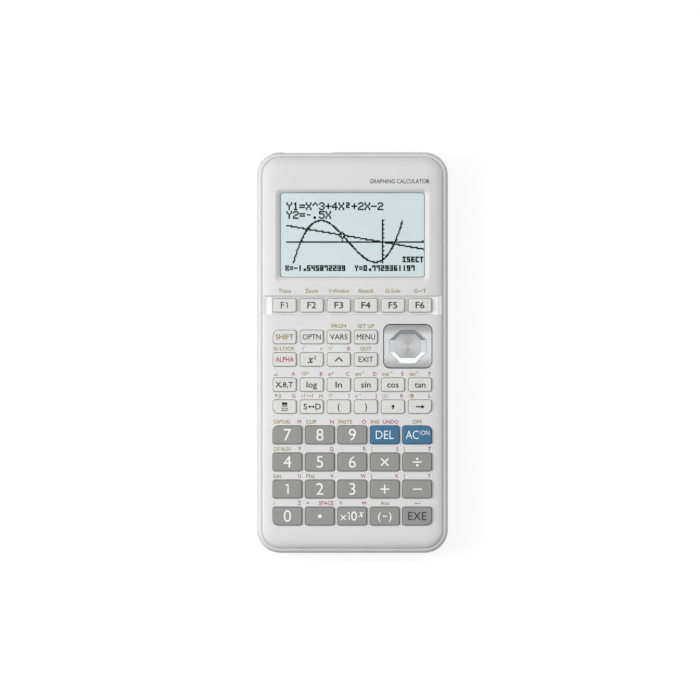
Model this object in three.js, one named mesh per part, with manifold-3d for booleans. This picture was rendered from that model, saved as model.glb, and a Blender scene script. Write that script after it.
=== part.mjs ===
// A graphing calculator lying on its back: two case shells, forty-six keys, a rocking cursor pad, display, main board,
// rubber key mat, battery cells under a hinged cover, and two sockets in the top end.
// Millimetres. X runs across the calculator, Y towards its display end, Z out of its front face. The origin is on the
// surface that the feet rest on, below the middle of the outline.
import * as THREE from "three";
import { mergeVertices } from "three/addons/utils/BufferGeometryUtils.js";
import Module from "manifold-3d";

const wasm = await Module();
wasm.setup();

// Driving dimensions
const WIDTH = 83.5;
const LENGTH = 175.5;
const CORNER_RADIUS = 10.3;
const FOOT_HEIGHT = 0.6;
const PARTING_Z = 8;
const WALL = 1.6;
const RIM_TOP_Z = 16.2;
const RIM_WIDTH = 2.15; // the rounded rim outside the raised front face
const FACE_EDGE_Z = 16.8; // top of the small step between rim and raised face
const FACE_Z = 17.5; // flat keypad face
const DISPLAY_FACE_Z = 18.1;
const FACE_CROWN = 4.95; // width over which the raised face curves down to its step
const CEILING_Z = 16.1; // inside of the front wall

// The trough that holds the function keys, across the whole raised face
const TROUGH = { low: 16.5, high: 24.85, floorZ: 16.7, endZ: 17.0, floorHalf: 35, endHalf: 37.4, padZ: 15.7 };

// Display
const WINDOW = { x: 0, y: 51.3, width: 63.2, height: 37.1, radius: 1.1, bevel: 2, lipZ: 17.5, undersideZ: 17.15 };
const LENS = { width: 66.6, height: 40.6, bottomZ: 16.2, topZ: 17.1 };
const LCD = { width: 67.4, height: 45.2, bottomZ: 13.8, topZ: 16 };

// Keys: caps by kind, and the rows from top to bottom
const KEY_GAP = 0.25;
const FLANGE = 0.5;
const SMALL_PITCH = 11.8;
const LARGE_PITCH = 14.15;
const TOUCH_Z = 14.75; // foot of a key's stem at rest
const KINDS = {
  function: { width: 9.95, height: 5.93, pitch: SMALL_PITCH, topZ: 18, flangeZ: 15.25, flangeTop: 15.65, footZ: 14.55 },
  small: { width: 9.95, height: 5.9, pitch: SMALL_PITCH, topZ: 18.3, flangeZ: 15.5, flangeTop: 16, footZ: TOUCH_Z },
  large: { width: 12.55, height: 7.85, pitch: LARGE_PITCH, topZ: 18.4, flangeZ: 15.5, flangeTop: 16, footZ: TOUCH_Z },
};
const ROWS = [
  { kind: "function", y: 20.6, names: ["f1", "f2", "f3", "f4", "f5", "f6"] },
  { kind: "small", y: 6.8, names: ["shift", "optn", "vars", "menu"] },
  { kind: "small", y: -3, names: ["alpha", "square", "power", "exit"] },
  { kind: "small", y: -14, names: ["variable", "log", "ln", "sin", "cos", "tan"] },
  { kind: "small", y: -23.6, names: ["fraction", "convert", "paren_open", "paren_close", "comma", "store"] },
  { kind: "large", y: -35.9, names: ["7", "8", "9", "delete", "ac"] },
  { kind: "large", y: -47.7, names: ["4", "5", "6", "multiply", "divide"] },
  { kind: "large", y: -59.5, names: ["1", "2", "3", "add", "subtract"] },
  { kind: "large", y: -71.3, names: ["0", "point", "exponent", "negative", "execute"] },
];
const FULL_ROW = { function: 6, small: 6, large: 5 };
const KEY_RADIUS = 0.9;
const BLOCK_RADIUS = 2.4; // the outer corner of a block of keys
const BLOCK_CORNERS = { shift: "tl", fraction: "bl", store: "br", 7: "tl", ac: "tr", 0: "bl", execute: "br" };

// Cursor pad
const CURSOR = { x: 24.17, y: 2.75 };
const BEZEL = { width: 20.7, height: 18.75, radius: 2.7, bottomZ: 16.65, topZ: 17.95, pocketZ: 16.6 };
const PAD = { width: 15.8, height: 15, cut: 4.4, topZ: 18.6, flangeZ: 14.7, flangeTop: 15.2, faceWidth: 11.5,
  faceHeight: 10.2, faceCut: 2.75, faceZ: 18.1, lip: 0.25 };
const PIVOT = { radius: 1.8, bottomZ: 13.95, topZ: 16.3, wellRadius: 3.1, wellZ: 16.7 };

// Inside
const BOARD = { halfWidth: 33.6, low: -83, high: 84.8, bottomZ: 12.7, topZ: 13.7 };
const MAT = { halfWidth: 34.6, low: -76.2, high: 24.2, bottomZ: 13.8, topZ: 14.4 };
const BOX = { y: 47.5, width: 52, height: 43.4, wall: 1.2, roofZ: 12.9, topZ: 13.7 };
const CELL = { radius: 5.2, length: 43.5, pitch: 10.6, z: 7.45 };
const SCREWS = { x: 36.7, rows: [-79, 27.5, 80], boss: 2.4, core: 0.9, head: 2.3, shank: 1.3 };
const FEET = [[30, -79.5], [27, 80.5]];

// Battery cover, hinged on two hooks at its display end
const COVER = { width: 58, low: 20.5, high: 73.5, topZ: 1.95, gap: 0.25, hookX: 18, hookWidth: 6, hookReach: 2 };

// Sockets in the top end
const END_RECESS = { x: -19.4, halfFlat: 9.5, halfMouth: 11.6, depth: 0.46 };
const USB = { x: -14.4, z: 10.5, width: 7.6, height: 3.8, depth: 9.2 };
const JACK = { x: -24.6, z: 10.2, noseRadius: 2.3, boreRadius: 1.3, width: 6.4, height: 4.4, depth: 11.5 };
const RESET = { x: 31, y: 44, radius: 1, holeRadius: 1.3, bottomZ: 1.3, topZ: 12.3 };

// ---- Solids ---------------------------------------------------------------------------------------------------

function solid(geometry) {
  const bare = geometry.clone();
  bare.deleteAttribute("normal");
  bare.deleteAttribute("uv");
  const merged = mergeVertices(bare, 1e-4);
  const triVerts = new Uint32Array(merged.index.array);
  const vertProperties = new Float32Array(merged.attributes.position.array);
  return new wasm.Manifold(new wasm.Mesh({ numProp: 3, vertProperties, triVerts }));
}

function geometryOf(manifold) {
  const mesh = manifold.getMesh();
  const geometry = new THREE.BufferGeometry();
  geometry.setAttribute("position", new THREE.BufferAttribute(mesh.vertProperties, 3));
  geometry.setIndex(new THREE.BufferAttribute(mesh.triVerts, 1));
  geometry.computeVertexNormals();
  return geometry;
}

const union = (...parts) => parts.reduce((a, b) => a.add(b));
const without = (body, ...cuts) => cuts.reduce((a, b) => a.subtract(b), body);

// A rectangle with its own radius at each corner, given as one number or { tl, tr, bl, br }.
function rounded(x, y, width, height, radius) {
  const r = typeof radius === "number" ? { tl: radius, tr: radius, bl: radius, br: radius } : radius;
  const [left, right, low, high] = [x - width / 2, x + width / 2, y - height / 2, y + height / 2];
  const quarter = Math.PI / 2;
  return new THREE.Shape()
    .moveTo(left + r.bl, low)
    .lineTo(right - r.br, low)
    .absarc(right - r.br, low + r.br, r.br, -quarter, 0)
    .lineTo(right, high - r.tr)
    .absarc(right - r.tr, high - r.tr, r.tr, 0, quarter)
    .lineTo(left + r.tl, high)
    .absarc(left + r.tl, high - r.tl, r.tl, quarter, 2 * quarter)
    .lineTo(left, low + r.bl)
    .absarc(left + r.bl, low + r.bl, r.bl, 2 * quarter, 3 * quarter);
}

// A rectangle with straight cut corners.
function octagon(x, y, width, height, cut) {
  const [a, b] = [width / 2, height / 2];
  const corners = [[a - cut, -b], [a, cut - b], [a, b - cut], [a - cut, b], [cut - a, b], [-a, b - cut], [-a, cut - b],
    [cut - a, -b]];
  return new THREE.Shape(corners.map(([u, v]) => new THREE.Vector2(x + u, y + v)));
}

// Straight-sided plate between two heights.
function plate(shape, z0, z1, curveSegments = 2) {
  const geometry = new THREE.ExtrudeGeometry(shape, { depth: z1 - z0, bevelEnabled: false, curveSegments });
  return solid(geometry.translate(0, 0, z0));
}

// Plate whose top edge curves inwards by run while it falls by drop.
function crowned(shape, z0, z1, run, drop, bevelSegments, curveSegments = 2) {
  const depth = z1 - drop - z0 + 0.1;
  const geometry = new THREE.ExtrudeGeometry(shape, {
    depth, bevelEnabled: true, bevelSize: run, bevelOffset: -run, bevelThickness: drop, bevelSegments, curveSegments,
  });
  return solid(geometry.translate(0, 0, z1 - drop - depth)).trimByPlane([0, 0, 1], z0);
}

// The same, upside down: the bottom edge is the curved one.
function dished(shape, z0, z1, run, drop, bevelSegments, curveSegments = 2) {
  const flipped = crowned(shape, -z1, -z0, run, drop, bevelSegments, curveSegments);
  return flipped.mirror([0, 0, 1]);
}

function block(x0, x1, y0, y1, z0, z1) {
  const geometry = new THREE.BoxGeometry(x1 - x0, y1 - y0, z1 - z0);
  return solid(geometry.translate((x0 + x1) / 2, (y0 + y1) / 2, (z0 + z1) / 2));
}

function post(x, y, radius, z0, z1, sides = 16) {
  const geometry = new THREE.CylinderGeometry(radius, radius, z1 - z0, sides).rotateX(Math.PI / 2);
  return solid(geometry.translate(x, y, (z0 + z1) / 2));
}

// Frustum between two outlines of the same kind, made as a hull of two thin plates.
function flared(lowShape, highShape, z0, z1) {
  const thin = 0.01;
  return wasm.Manifold.hull([plate(lowShape, z0, z0 + thin), plate(highShape, z1 - thin, z1)]);
}

// ---- Layout of the keys ---------------------------------------------------------------------------------------

function keyLayout() {
  const keys = [];
  for (const row of ROWS) {
    const kind = KINDS[row.kind];
    const first = (-kind.pitch * (FULL_ROW[row.kind] - 1)) / 2;
    row.names.forEach((name, column) => {
      const radius = { tl: KEY_RADIUS, tr: KEY_RADIUS, bl: KEY_RADIUS, br: KEY_RADIUS };
      if (BLOCK_CORNERS[name]) radius[BLOCK_CORNERS[name]] = BLOCK_RADIUS;
      const arcs = BLOCK_CORNERS[name] ? 2 : 1;
      const x = first + column * kind.pitch;
      keys.push({ name: `key_${name}`, kind: row.kind, x, y: row.y, radius, arcs, ...kind });
    });
  }
  return keys;
}

function grownKey(key, by) {
  const radius = Object.fromEntries(Object.entries(key.radius).map(([corner, r]) => [corner, r + by]));
  return rounded(key.x, key.y, key.width + 2 * by, key.height + 2 * by, radius);
}

const keys = keyLayout();

function keyCap(key) {
  const edge = 0.3;
  const cap = crowned(grownKey(key, 0), key.flangeTop - 0.1, key.topZ, edge, edge, 1, key.arcs);
  const [w, h] = [key.width / 2 + FLANGE, key.height / 2 + FLANGE];
  const flange = block(key.x - w, key.x + w, key.y - h, key.y + h, key.flangeZ, key.flangeTop);
  const stem = block(key.x - 1.5, key.x + 1.5, key.y - 1, key.y + 1, key.footZ, key.flangeZ + 0.1);
  return union(cap, flange, stem);
}

// ---- Case -----------------------------------------------------------------------------------------------------

function atScrews(radius, z0, z1, sides) {
  return SCREWS.rows.flatMap((y) => [-SCREWS.x, SCREWS.x].map((x) => post(x, y, radius, z0, z1, sides)));
}

const outline = (inset) =>
  rounded(0, 0, WIDTH - 2 * inset, LENGTH - 2 * inset, Math.max(CORNER_RADIUS - inset, 0.5));

// Shallow bay in the top end around the two sockets.
function endRecess(z0) {
  const face = LENGTH / 2;
  const { x, halfFlat, halfMouth, depth } = END_RECESS;
  const mouth = new THREE.Shape()
    .moveTo(x - halfMouth, face + 1)
    .lineTo(x - halfMouth, face)
    .lineTo(x - halfFlat, face - depth)
    .lineTo(x + halfFlat, face - depth)
    .lineTo(x + halfMouth, face)
    .lineTo(x + halfMouth, face + 1);
  return plate(mouth, z0, 20);
}

function troughCut() {
  const { low, high, floorZ, endZ, floorHalf, endHalf } = TROUGH;
  const side = WIDTH / 2;
  const section = new THREE.Shape()
    .moveTo(-side, endZ - 0.35)
    .lineTo(-endHalf, endZ)
    .lineTo(-floorHalf, floorZ)
    .lineTo(floorHalf, floorZ)
    .lineTo(endHalf, endZ)
    .lineTo(side, endZ - 0.35)
    .lineTo(side, 20)
    .lineTo(-side, 20);
  const geometry = new THREE.ExtrudeGeometry(section, { depth: high - low, bevelEnabled: false });
  return solid(geometry.rotateX(Math.PI / 2).translate(0, high, 0));
}

function frontCase() {
  const rimRound = 1.9;
  let shell = crowned(outline(0), PARTING_Z, RIM_TOP_Z, rimRound, rimRound, 4, 4);
  const face = outline(RIM_WIDTH);
  const keypad = crowned(face, 15, FACE_Z, FACE_CROWN, FACE_Z - FACE_EDGE_Z, 3, 4);
  const display = crowned(face, 15, DISPLAY_FACE_Z, FACE_CROWN, DISPLAY_FACE_Z - FACE_EDGE_Z, 3, 4);
  const displayHalf = block(-WIDTH, WIDTH, (TROUGH.low + TROUGH.high) / 2, LENGTH, 0, 30);
  shell = union(shell, keypad, display.intersect(displayHalf));
  shell = without(shell, troughCut(), endRecess(5));

  const hollow = union(
    plate(outline(WALL), PARTING_Z - 1, 14.2, 3),
    plate(outline(3.4), 14, CEILING_Z, 3),
  );
  const troughPad = block(-38, 38, TROUGH.low - 0.8, TROUGH.high + 0.4, TROUGH.padZ, CEILING_Z + 0.1);
  shell = union(without(shell, hollow), troughPad, ...atScrews(SCREWS.boss, 8.3, 16.3, 12));

  const keyHoles = keys.map((key) => plate(grownKey(key, KEY_GAP), 13, 20, key.arcs));
  const windowCuts = [
    flared(
      rounded(WINDOW.x, WINDOW.y, WINDOW.width, WINDOW.height, WINDOW.radius),
      rounded(WINDOW.x, WINDOW.y, WINDOW.width + 2 * WINDOW.bevel + 0.4, WINDOW.height + 2 * WINDOW.bevel + 0.4, 2.6),
      WINDOW.lipZ, DISPLAY_FACE_Z + 0.06),
    plate(rounded(WINDOW.x, WINDOW.y, WINDOW.width, WINDOW.height, WINDOW.radius), 14, 19),
    plate(rounded(WINDOW.x, WINDOW.y, LENS.width + 0.4, LENS.height + 0.4, 1.5), 14, WINDOW.undersideZ),
  ];
  const cursorCuts = [
    plate(rounded(CURSOR.x, CURSOR.y, BEZEL.width + 0.3, BEZEL.height + 0.3, BEZEL.radius), BEZEL.pocketZ, 20),
    plate(octagon(CURSOR.x, CURSOR.y, PAD.width + 0.9, PAD.height + 0.9, PAD.cut), 14, 18),
  ];
  const top = LENGTH / 2;
  const socketCuts = [
    block(USB.x - USB.width / 2 - 0.2, USB.x + USB.width / 2 + 0.2, top - 4, top + 1, USB.z - USB.height / 2 - 0.2,
      USB.z + USB.height / 2 + 0.2),
    post(0, 0, JACK.noseRadius + 0.2, -3, 3).rotate([90, 0, 0]).translate([JACK.x, top - 1, JACK.z]),
  ];
  const rails = [-1, 1].map((side) => {
    const wall = (side * WIDTH) / 2;
    return block(wall - 0.5, wall + 0.5, -74, 74, 10.4, 11.8);
  });
  return without(shell, ...keyHoles, ...windowCuts, ...cursorCuts, ...socketCuts, ...rails,
    ...atScrews(SCREWS.core, 7, 14.5, 8));
}

function rearCase() {
  const belly = dished(outline(0), FOOT_HEIGHT, PARTING_Z - 0.05, 3, 3.4, 4, 4);
  const hollow = union(
    plate(outline(WALL), 4.2, PARTING_Z + 1, 3),
    plate(outline(4.6), FOOT_HEIGHT + WALL, 4.4, 3),
  );
  const [bw, bh] = [BOX.width / 2 + BOX.wall, BOX.height / 2 + BOX.wall];
  const compartment = block(-bw, bw, BOX.y - bh, BOX.y + bh, 1, BOX.topZ);
  const seat = block(-31, 31, COVER.low - 2, 77, 1, 3.9);
  const feet = FEET.flatMap(([x, y]) => [-x, x].map((side) => post(side, y, 3.5, 0, 1, 20)));
  const resetTube = post(RESET.x, RESET.y, 2.3, 1.8, 11.4, 12);

  const half = COVER.width / 2 + COVER.gap;
  const coverBay = block(-half, half, COVER.low - COVER.gap, COVER.high + COVER.gap, 0, 2.05);
  const cells = block(-BOX.width / 2, BOX.width / 2, BOX.y - BOX.height / 2, BOX.y + BOX.height / 2, 1, BOX.roofZ);
  const hookSlots = [-1, 1].map((side) => {
    const x = side * COVER.hookX;
    return block(x - 3.3, x + 3.3, COVER.high - 2.1, COVER.high + 2.6, 1.15, 3.2);
  });
  const scoop = flared(
    rounded(0, COVER.low - 1, 13, 5, 1.2), rounded(0, COVER.low - 1.6, 16, 9, 2.5), 1.5, 1.6)
    .mirror([0, 0, 1]).translate([0, 0, 2.1]);
  const shell = union(without(belly, hollow), compartment, seat, ...atScrews(3.1, 1.5, 7.9, 12), ...feet, resetTube);
  return without(shell, coverBay, cells, ...hookSlots, scoop, endRecess(5), ...atScrews(SCREWS.head, 0, 4.4, 12),
    ...atScrews(SCREWS.shank, 4, 9, 8), post(RESET.x, RESET.y, RESET.holeRadius, 0, 12, 12));
}

function batteryCover() {
  const middle = (COVER.low + COVER.high) / 2;
  const sheet = plate(rounded(0, middle, COVER.width, COVER.high - COVER.low, 1.5), FOOT_HEIGHT, COVER.topZ);
  const hooks = [-1, 1].map((side) => {
    const [x, half] = [side * COVER.hookX, COVER.hookWidth / 2];
    return block(x - half, x + half, COVER.high - 1, COVER.high + COVER.hookReach, 1.25, COVER.topZ);
  });
  const slots = [-1, 1].map((side) => block(side * 7 - 0.5, side * 7 + 0.5, COVER.low - 1, COVER.low + 7, 0, 3));
  const ridges = [0, 1, 2].map((i) => block(-5, 5, COVER.low + 1.4 + 1.6 * i, COVER.low + 2.1 + 1.6 * i, 0.35, 1));
  return union(without(union(sheet, ...hooks), ...slots), ...ridges);
}

// ---- Display, board and key mat -------------------------------------------------------------------------------

function displayWindow() {
  return plate(rounded(WINDOW.x, WINDOW.y, LENS.width, LENS.height, 1.3), LENS.bottomZ, LENS.topZ);
}

function lcdModule() {
  const frame = plate(rounded(WINDOW.x, WINDOW.y, LCD.width, LCD.height, 0.8), LCD.bottomZ, LCD.topZ, 1);
  const sunk = plate(rounded(WINDOW.x, WINDOW.y, 64.6, 39, 0.5), LCD.topZ - 0.25, LCD.topZ + 1, 1);
  return without(frame, sunk);
}

function mainBoard() {
  const { halfWidth, low, high, bottomZ, topZ } = BOARD;
  const sheet = plate(rounded(0, (low + high) / 2, 2 * halfWidth, high - low, 1.5), bottomZ, topZ, 2);
  const [boxLow, boxHigh] = [BOX.y - BOX.height / 2 - BOX.wall - 0.4, BOX.y + BOX.height / 2 + BOX.wall + 0.4];
  return without(sheet, block(-BOX.width / 2 - BOX.wall - 0.4, halfWidth + 1, boxLow, boxHigh, 10, 16));
}

function keyMat() {
  const { halfWidth, low, high, bottomZ, topZ } = MAT;
  const sheet = plate(rounded(0, (low + high) / 2, 2 * halfWidth, high - low, 2), bottomZ, topZ, 2);
  const wells = keys.map((key) => block(key.x - 2.2, key.x + 2.2, key.y - 1.7, key.y + 1.7, 12, 16));
  const cursorWell = block(CURSOR.x - 9.7, CURSOR.x + 9.7, CURSOR.y - 9.2, CURSOR.y + 9.2, 12, 16);
  return without(sheet, ...wells, cursorWell);
}

// ---- Cursor ---------------------------------------------------------------------------------------------------

function cursorBezel() {
  const { width, height, radius, bottomZ, topZ } = BEZEL;
  const frame = crowned(rounded(CURSOR.x, CURSOR.y, width, height, radius), bottomZ, topZ, 0.4, 0.3, 2);
  const dish = flared(
    octagon(CURSOR.x, CURSOR.y, PAD.width + 0.7, PAD.height + 0.7, PAD.cut),
    octagon(CURSOR.x, CURSOR.y, width - 1.4, height - 1.4, 1.6), topZ - 0.35, topZ + 0.02);
  return without(frame, dish, plate(octagon(CURSOR.x, CURSOR.y, PAD.width + 0.7, PAD.height + 0.7, PAD.cut), 15, 20));
}

// Eight-sided pad whose face is a shallow dish: sloping facets run down from its edge to a flat centre.
function cursorPad() {
  const { width, height, cut, topZ, flangeZ, flangeTop, faceWidth, faceHeight, faceCut, faceZ, lip } = PAD;
  const body = plate(octagon(CURSOR.x, CURSOR.y, width, height, cut), flangeTop - 0.1, topZ);
  const dish = flared(
    octagon(CURSOR.x, CURSOR.y, faceWidth, faceHeight, faceCut),
    octagon(CURSOR.x, CURSOR.y, width - 2 * lip, height - 2 * lip, cut - 0.6 * lip), faceZ, topZ + 0.02);
  const flange = plate(octagon(CURSOR.x, CURSOR.y, width + 1.8, height + 1.8, cut + 0.5), flangeZ, flangeTop);
  const well = post(CURSOR.x, CURSOR.y, PIVOT.wellRadius, flangeZ - 1, PIVOT.wellZ, 20);
  return without(union(body, flange), dish, well);
}

function cursorPivot() {
  return post(CURSOR.x, CURSOR.y, PIVOT.radius, PIVOT.bottomZ, PIVOT.topZ, 20);
}

// ---- Power and sockets ----------------------------------------------------------------------------------------

// Four cells side by side, joined in series by contact plates at alternate ends.
function batteryCells() {
  const parts = [];
  const place = (i) => BOX.y + (i - 1.5) * CELL.pitch;
  const plateAt = (side, y0, y1) => {
    const [inner, outer] = [side * 25.2, side * 25.7].sort((a, b) => a - b);
    return block(inner, outer, y0 - 3.5, y1 + 3.5, CELL.z - 3.5, CELL.z + 3.5);
  };
  for (let i = 0; i < 4; i++) {
    const turn = [0, 90, 0];
    parts.push(post(0, 0, CELL.radius, -CELL.length / 2, CELL.length / 2, 20).rotate(turn)
      .translate([0, place(i), CELL.z]));
    parts.push(post(0, 0, 1.9, -25.4, 25.4, 8).rotate(turn).translate([0, place(i), CELL.z]));
  }
  parts.push(plateAt(-1, place(0), place(1)), plateAt(-1, place(2), place(3)), plateAt(1, place(1), place(2)));
  parts.push(plateAt(1, place(0), place(0)), plateAt(1, place(3), place(3)));
  return union(...parts);
}

function usbSocket() {
  const face = LENGTH / 2 - END_RECESS.depth - 0.3;
  const { x, z, width, height, depth } = USB;
  const shell = block(x - width / 2, x + width / 2, face - depth, face, z - height / 2, z + height / 2);
  const mouth = block(x - width / 2 + 0.35, x + width / 2 - 0.35, face - 7, face + 1, z - height / 2 + 0.35,
    z + height / 2 - 0.35);
  const tongue = block(x - 2.6, x + 2.6, face - 7.2, face - 1, z + 0.1, z + 0.8);
  return union(without(shell, mouth), tongue);
}

function linkJack() {
  const face = LENGTH / 2 - END_RECESS.depth - 0.3;
  const { x, z, width, height, depth, noseRadius, boreRadius } = JACK;
  const along = (radius, y0, y1, sides) =>
    post(0, 0, radius, -y1, -y0, sides).rotate([90, 0, 0]).translate([x, 0, z]);
  const body = block(x - width / 2, x + width / 2, face - depth, face - 2.2, z - height / 2, z + height / 2);
  return without(union(body, along(noseRadius - 0.1, face - 3, face, 20)), along(boreRadius, face - 10, face + 1, 20));
}

function resetButton() {
  const { x, y, radius, bottomZ, topZ } = RESET;
  return union(post(x, y, radius, bottomZ, topZ, 16), post(x, y, 2, 11.6, topZ, 16));
}

// ---- Assembly -------------------------------------------------------------------------------------------------

const plastic = (color, roughness = 0.5) => new THREE.MeshStandardMaterial({ color, roughness, metalness: 0 });
const metal = (color, roughness = 0.3) => new THREE.MeshStandardMaterial({ color, roughness, metalness: 1 });

const calculator = new THREE.Group();

function place(name, manifold, material) {
  const mesh = new THREE.Mesh(geometryOf(manifold), material);
  mesh.name = name;
  calculator.add(mesh);
}

place("front_case", frontCase(), plastic(0xe4e3e1));
place("rear_case", rearCase(), plastic(0xdcdbd9));
place("battery_cover", batteryCover(), plastic(0xdcdbd9));
place("display_window", displayWindow(), new THREE.MeshStandardMaterial({
  color: 0xe8f2f2, roughness: 0.05, transparent: true, opacity: 0.35,
}));
place("lcd_module", lcdModule(), plastic(0xd4e3e5, 0.3));
place("main_board", mainBoard(), plastic(0x1f6b3a, 0.4));
place("key_mat", keyMat(), plastic(0xc9c9c4, 0.8));
place("cursor_bezel", cursorBezel(), metal(0xb9babb));
place("cursor_pivot", cursorPivot(), plastic(0x55575a));
place("cursor_pad", cursorPad(), metal(0xd2d3d4, 0.2));
place("battery_cells", batteryCells(), metal(0x8d949b));
place("usb_socket", usbSocket(), metal(0xb4b6b8));
place("link_jack", linkJack(), plastic(0x26272a));
place("reset_button", resetButton(), plastic(0x3c3e41));

const BLUE_KEYS = ["key_delete", "key_ac"];
for (const key of keys) {
  const light = key.kind !== "large";
  const color = BLUE_KEYS.includes(key.name) ? 0x2f79a8 : light ? 0xe0e0de : 0x9a9a97;
  place(key.name, keyCap(key), plastic(color, 0.4));
}

export default calculator;
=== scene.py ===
"""Looks of the graphing calculator: fine meshes, printed legends and procedural materials on the frame."""
import math

import bmesh
import bpy
from mathutils import Matrix, Vector


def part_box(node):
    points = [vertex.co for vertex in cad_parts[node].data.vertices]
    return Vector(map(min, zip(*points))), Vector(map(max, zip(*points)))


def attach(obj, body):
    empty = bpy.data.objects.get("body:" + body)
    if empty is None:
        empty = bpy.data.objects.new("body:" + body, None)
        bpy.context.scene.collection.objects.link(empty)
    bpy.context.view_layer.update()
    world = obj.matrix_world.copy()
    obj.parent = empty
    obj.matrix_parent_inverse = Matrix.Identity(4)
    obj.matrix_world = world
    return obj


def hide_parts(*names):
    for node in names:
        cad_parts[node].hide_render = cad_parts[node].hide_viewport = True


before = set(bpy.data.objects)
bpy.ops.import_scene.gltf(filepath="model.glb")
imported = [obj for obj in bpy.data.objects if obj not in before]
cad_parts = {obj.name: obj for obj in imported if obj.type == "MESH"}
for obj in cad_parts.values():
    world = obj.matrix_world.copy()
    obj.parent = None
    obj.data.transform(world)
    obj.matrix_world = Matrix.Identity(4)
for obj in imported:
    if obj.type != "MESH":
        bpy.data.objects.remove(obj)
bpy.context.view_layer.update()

MM = 0.001
CASE = "case"


def box_mm(node):
    """Lowest and highest corner of a CAD node, in millimetres."""
    low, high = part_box(node)
    return low / MM, high / MM


def centre_mm(node):
    low, high = box_mm(node)
    return (low + high) / 2


# ---- Driving dimensions, in millimetres ----

FRONT_LOW, FRONT_HIGH = box_mm("front_case")
REAR_LOW = box_mm("rear_case")[0]
WIDTH = FRONT_HIGH.x - FRONT_LOW.x
LENGTH = FRONT_HIGH.y - FRONT_LOW.y
END_Y = LENGTH / 2
CORNER = 10.3
WALL = 1.6
PARTING_Z = FRONT_LOW.z
DISPLAY_FACE_Z = FRONT_HIGH.z
FACE_Z = DISPLAY_FACE_Z - 0.6  # the keypad's face
FACE_EDGE_Z = DISPLAY_FACE_Z - 1.7  # outer edge of both faces
FACE_INSET = 2.45  # from the case's outline to that edge
EDGE_SLOPE = 0.62  # steepness of a face at that edge
END_DROP = 0.65  # extra fall of a face at the two ends, as a share of its fall at the sides
RIM_Z = DISPLAY_FACE_Z - 2.2
RIM_ROUND = 1.9  # radius of the rim's outer edge
RIM_SINK = 0.8  # how much lower the rim is at the two ends
RIM_STRETCH = 1.2  # further fall there for each millimetre below the rim's crest
GROOVE = 2.1  # from the case's outline to the line between rim and face
CEILING_Z = 16.1  # inside of the front shell
TROUGH_LOW = 16.3  # the function-key band, from this Y
TROUGH_HIGH = 24.85
TROUGH_Z = 16.4
SHELF_X = 37.5  # the band's side shelves, outwards from here
SHELF_Z = 16.6
KEY_GAP = 0.17  # between a key's cap and its hole
FLANGE = 0.5  # a key's hidden flange, beyond its cap
INK = 0.012  # half the thickness of printing
ABOVE = 20  # over the top of every part, for cutters that open upwards

LENS_LOW, LENS_HIGH = box_mm("display_window")
LENS_WIDTH = LENS_HIGH.x - LENS_LOW.x
LENS_HEIGHT = LENS_HIGH.y - LENS_LOW.y
WINDOW_X = (LENS_LOW.x + LENS_HIGH.x) / 2
WINDOW_Y = (LENS_LOW.y + LENS_HIGH.y) / 2
WINDOW_WIDTH = 63.2
WINDOW_HEIGHT = 37.1
WINDOW_CORNER = 1.1
GLASS_TOP_Z = LENS_HIGH.z - 0.3

COVER_LOW, COVER_HIGH = box_mm("battery_cover")
COVER_HOOK = 2.0
HOOK_XS = (-18, 18)
PAD = centre_mm("cursor_pad")
PAD_TOP_Z = box_mm("cursor_pad")[1].z
PAD_FACE_Z = PAD_TOP_Z - 0.5


# ---- Mesh helpers ----

def outline(cx, cy, width, height, radius, steps=6):
    """Rectangle with round corners, counter-clockwise. radius is one number, or (top left, top right,
    bottom left, bottom right)."""
    top_left, top_right, low_left, low_right = radius if isinstance(radius, tuple) else (radius,) * 4
    left, right = cx - width / 2, cx + width / 2
    low, high = cy - height / 2, cy + height / 2
    corners = (
        (right - low_right, low + low_right, low_right, -90),
        (right - top_right, high - top_right, top_right, 0),
        (left + top_left, high - top_left, top_left, 90),
        (left + low_left, low + low_left, low_left, 180),
    )
    return [point for x, y, r, start in corners for point in arc(x, y, r, r, start, start + 90, steps)]


def arc(cx, cy, rx, ry, start, end, steps):
    """Points of an ellipse from one angle to another, in degrees."""
    angles = [math.radians(start + (end - start) * i / steps) for i in range(steps + 1)]
    return [(cx + rx * math.cos(a), cy + ry * math.sin(a)) for a in angles]


def circle(cx, cy, radius, steps=32):
    turns = [2 * math.pi * i / steps for i in range(steps)]
    return [(cx + radius * math.cos(t), cy + radius * math.sin(t)) for t in turns]


def flat(points, z):
    return [(x, y, z) for x, y in points]


def upright(points, y):
    """An X-Z outline standing at one Y."""
    return [(x, y, z) for x, z in points]


def lengthwise(points, x):
    """A Y-Z outline standing at one X."""
    return [(x, y, z) for y, z in points]


def case_outline(inset):
    """The calculator's outline moved inwards."""
    return outline(0, 0, WIDTH - 2 * inset, LENGTH - 2 * inset, max(CORNER - inset, 0.4), 12)


def fillet(radius, steps):
    """(inset, rise) of a round top edge, from its foot to its crest."""
    angles = [math.pi / 2 * i / steps for i in range(steps + 1)]
    return [(radius * (1 - math.cos(a)), radius * math.sin(a)) for a in angles]


def block(x0, x1, y0, y1, z0, z1):
    return plate([(x0, y0), (x1, y0), (x1, y1), (x0, y1)], z0, z1)


def plate(points, *levels):
    """Rings of one outline, one at each height."""
    return [flat(points, z) for z in levels]


def turned(x, y, *profile, steps=32):
    """Rings of a round part standing at (x, y), each a radius and a height."""
    return [flat(circle(x, y, radius, steps), z) for radius, z in profile]


def post(x, y, radius, z0, z1, steps=32):
    return turned(x, y, (radius, z0), (radius, z1), steps=steps)


def window_rings(width, height, radius, *levels):
    """Rings of one rectangle with round corners about the window's centre."""
    return plate(outline(WINDOW_X, WINDOW_Y, width, height, radius), *levels)


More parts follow.
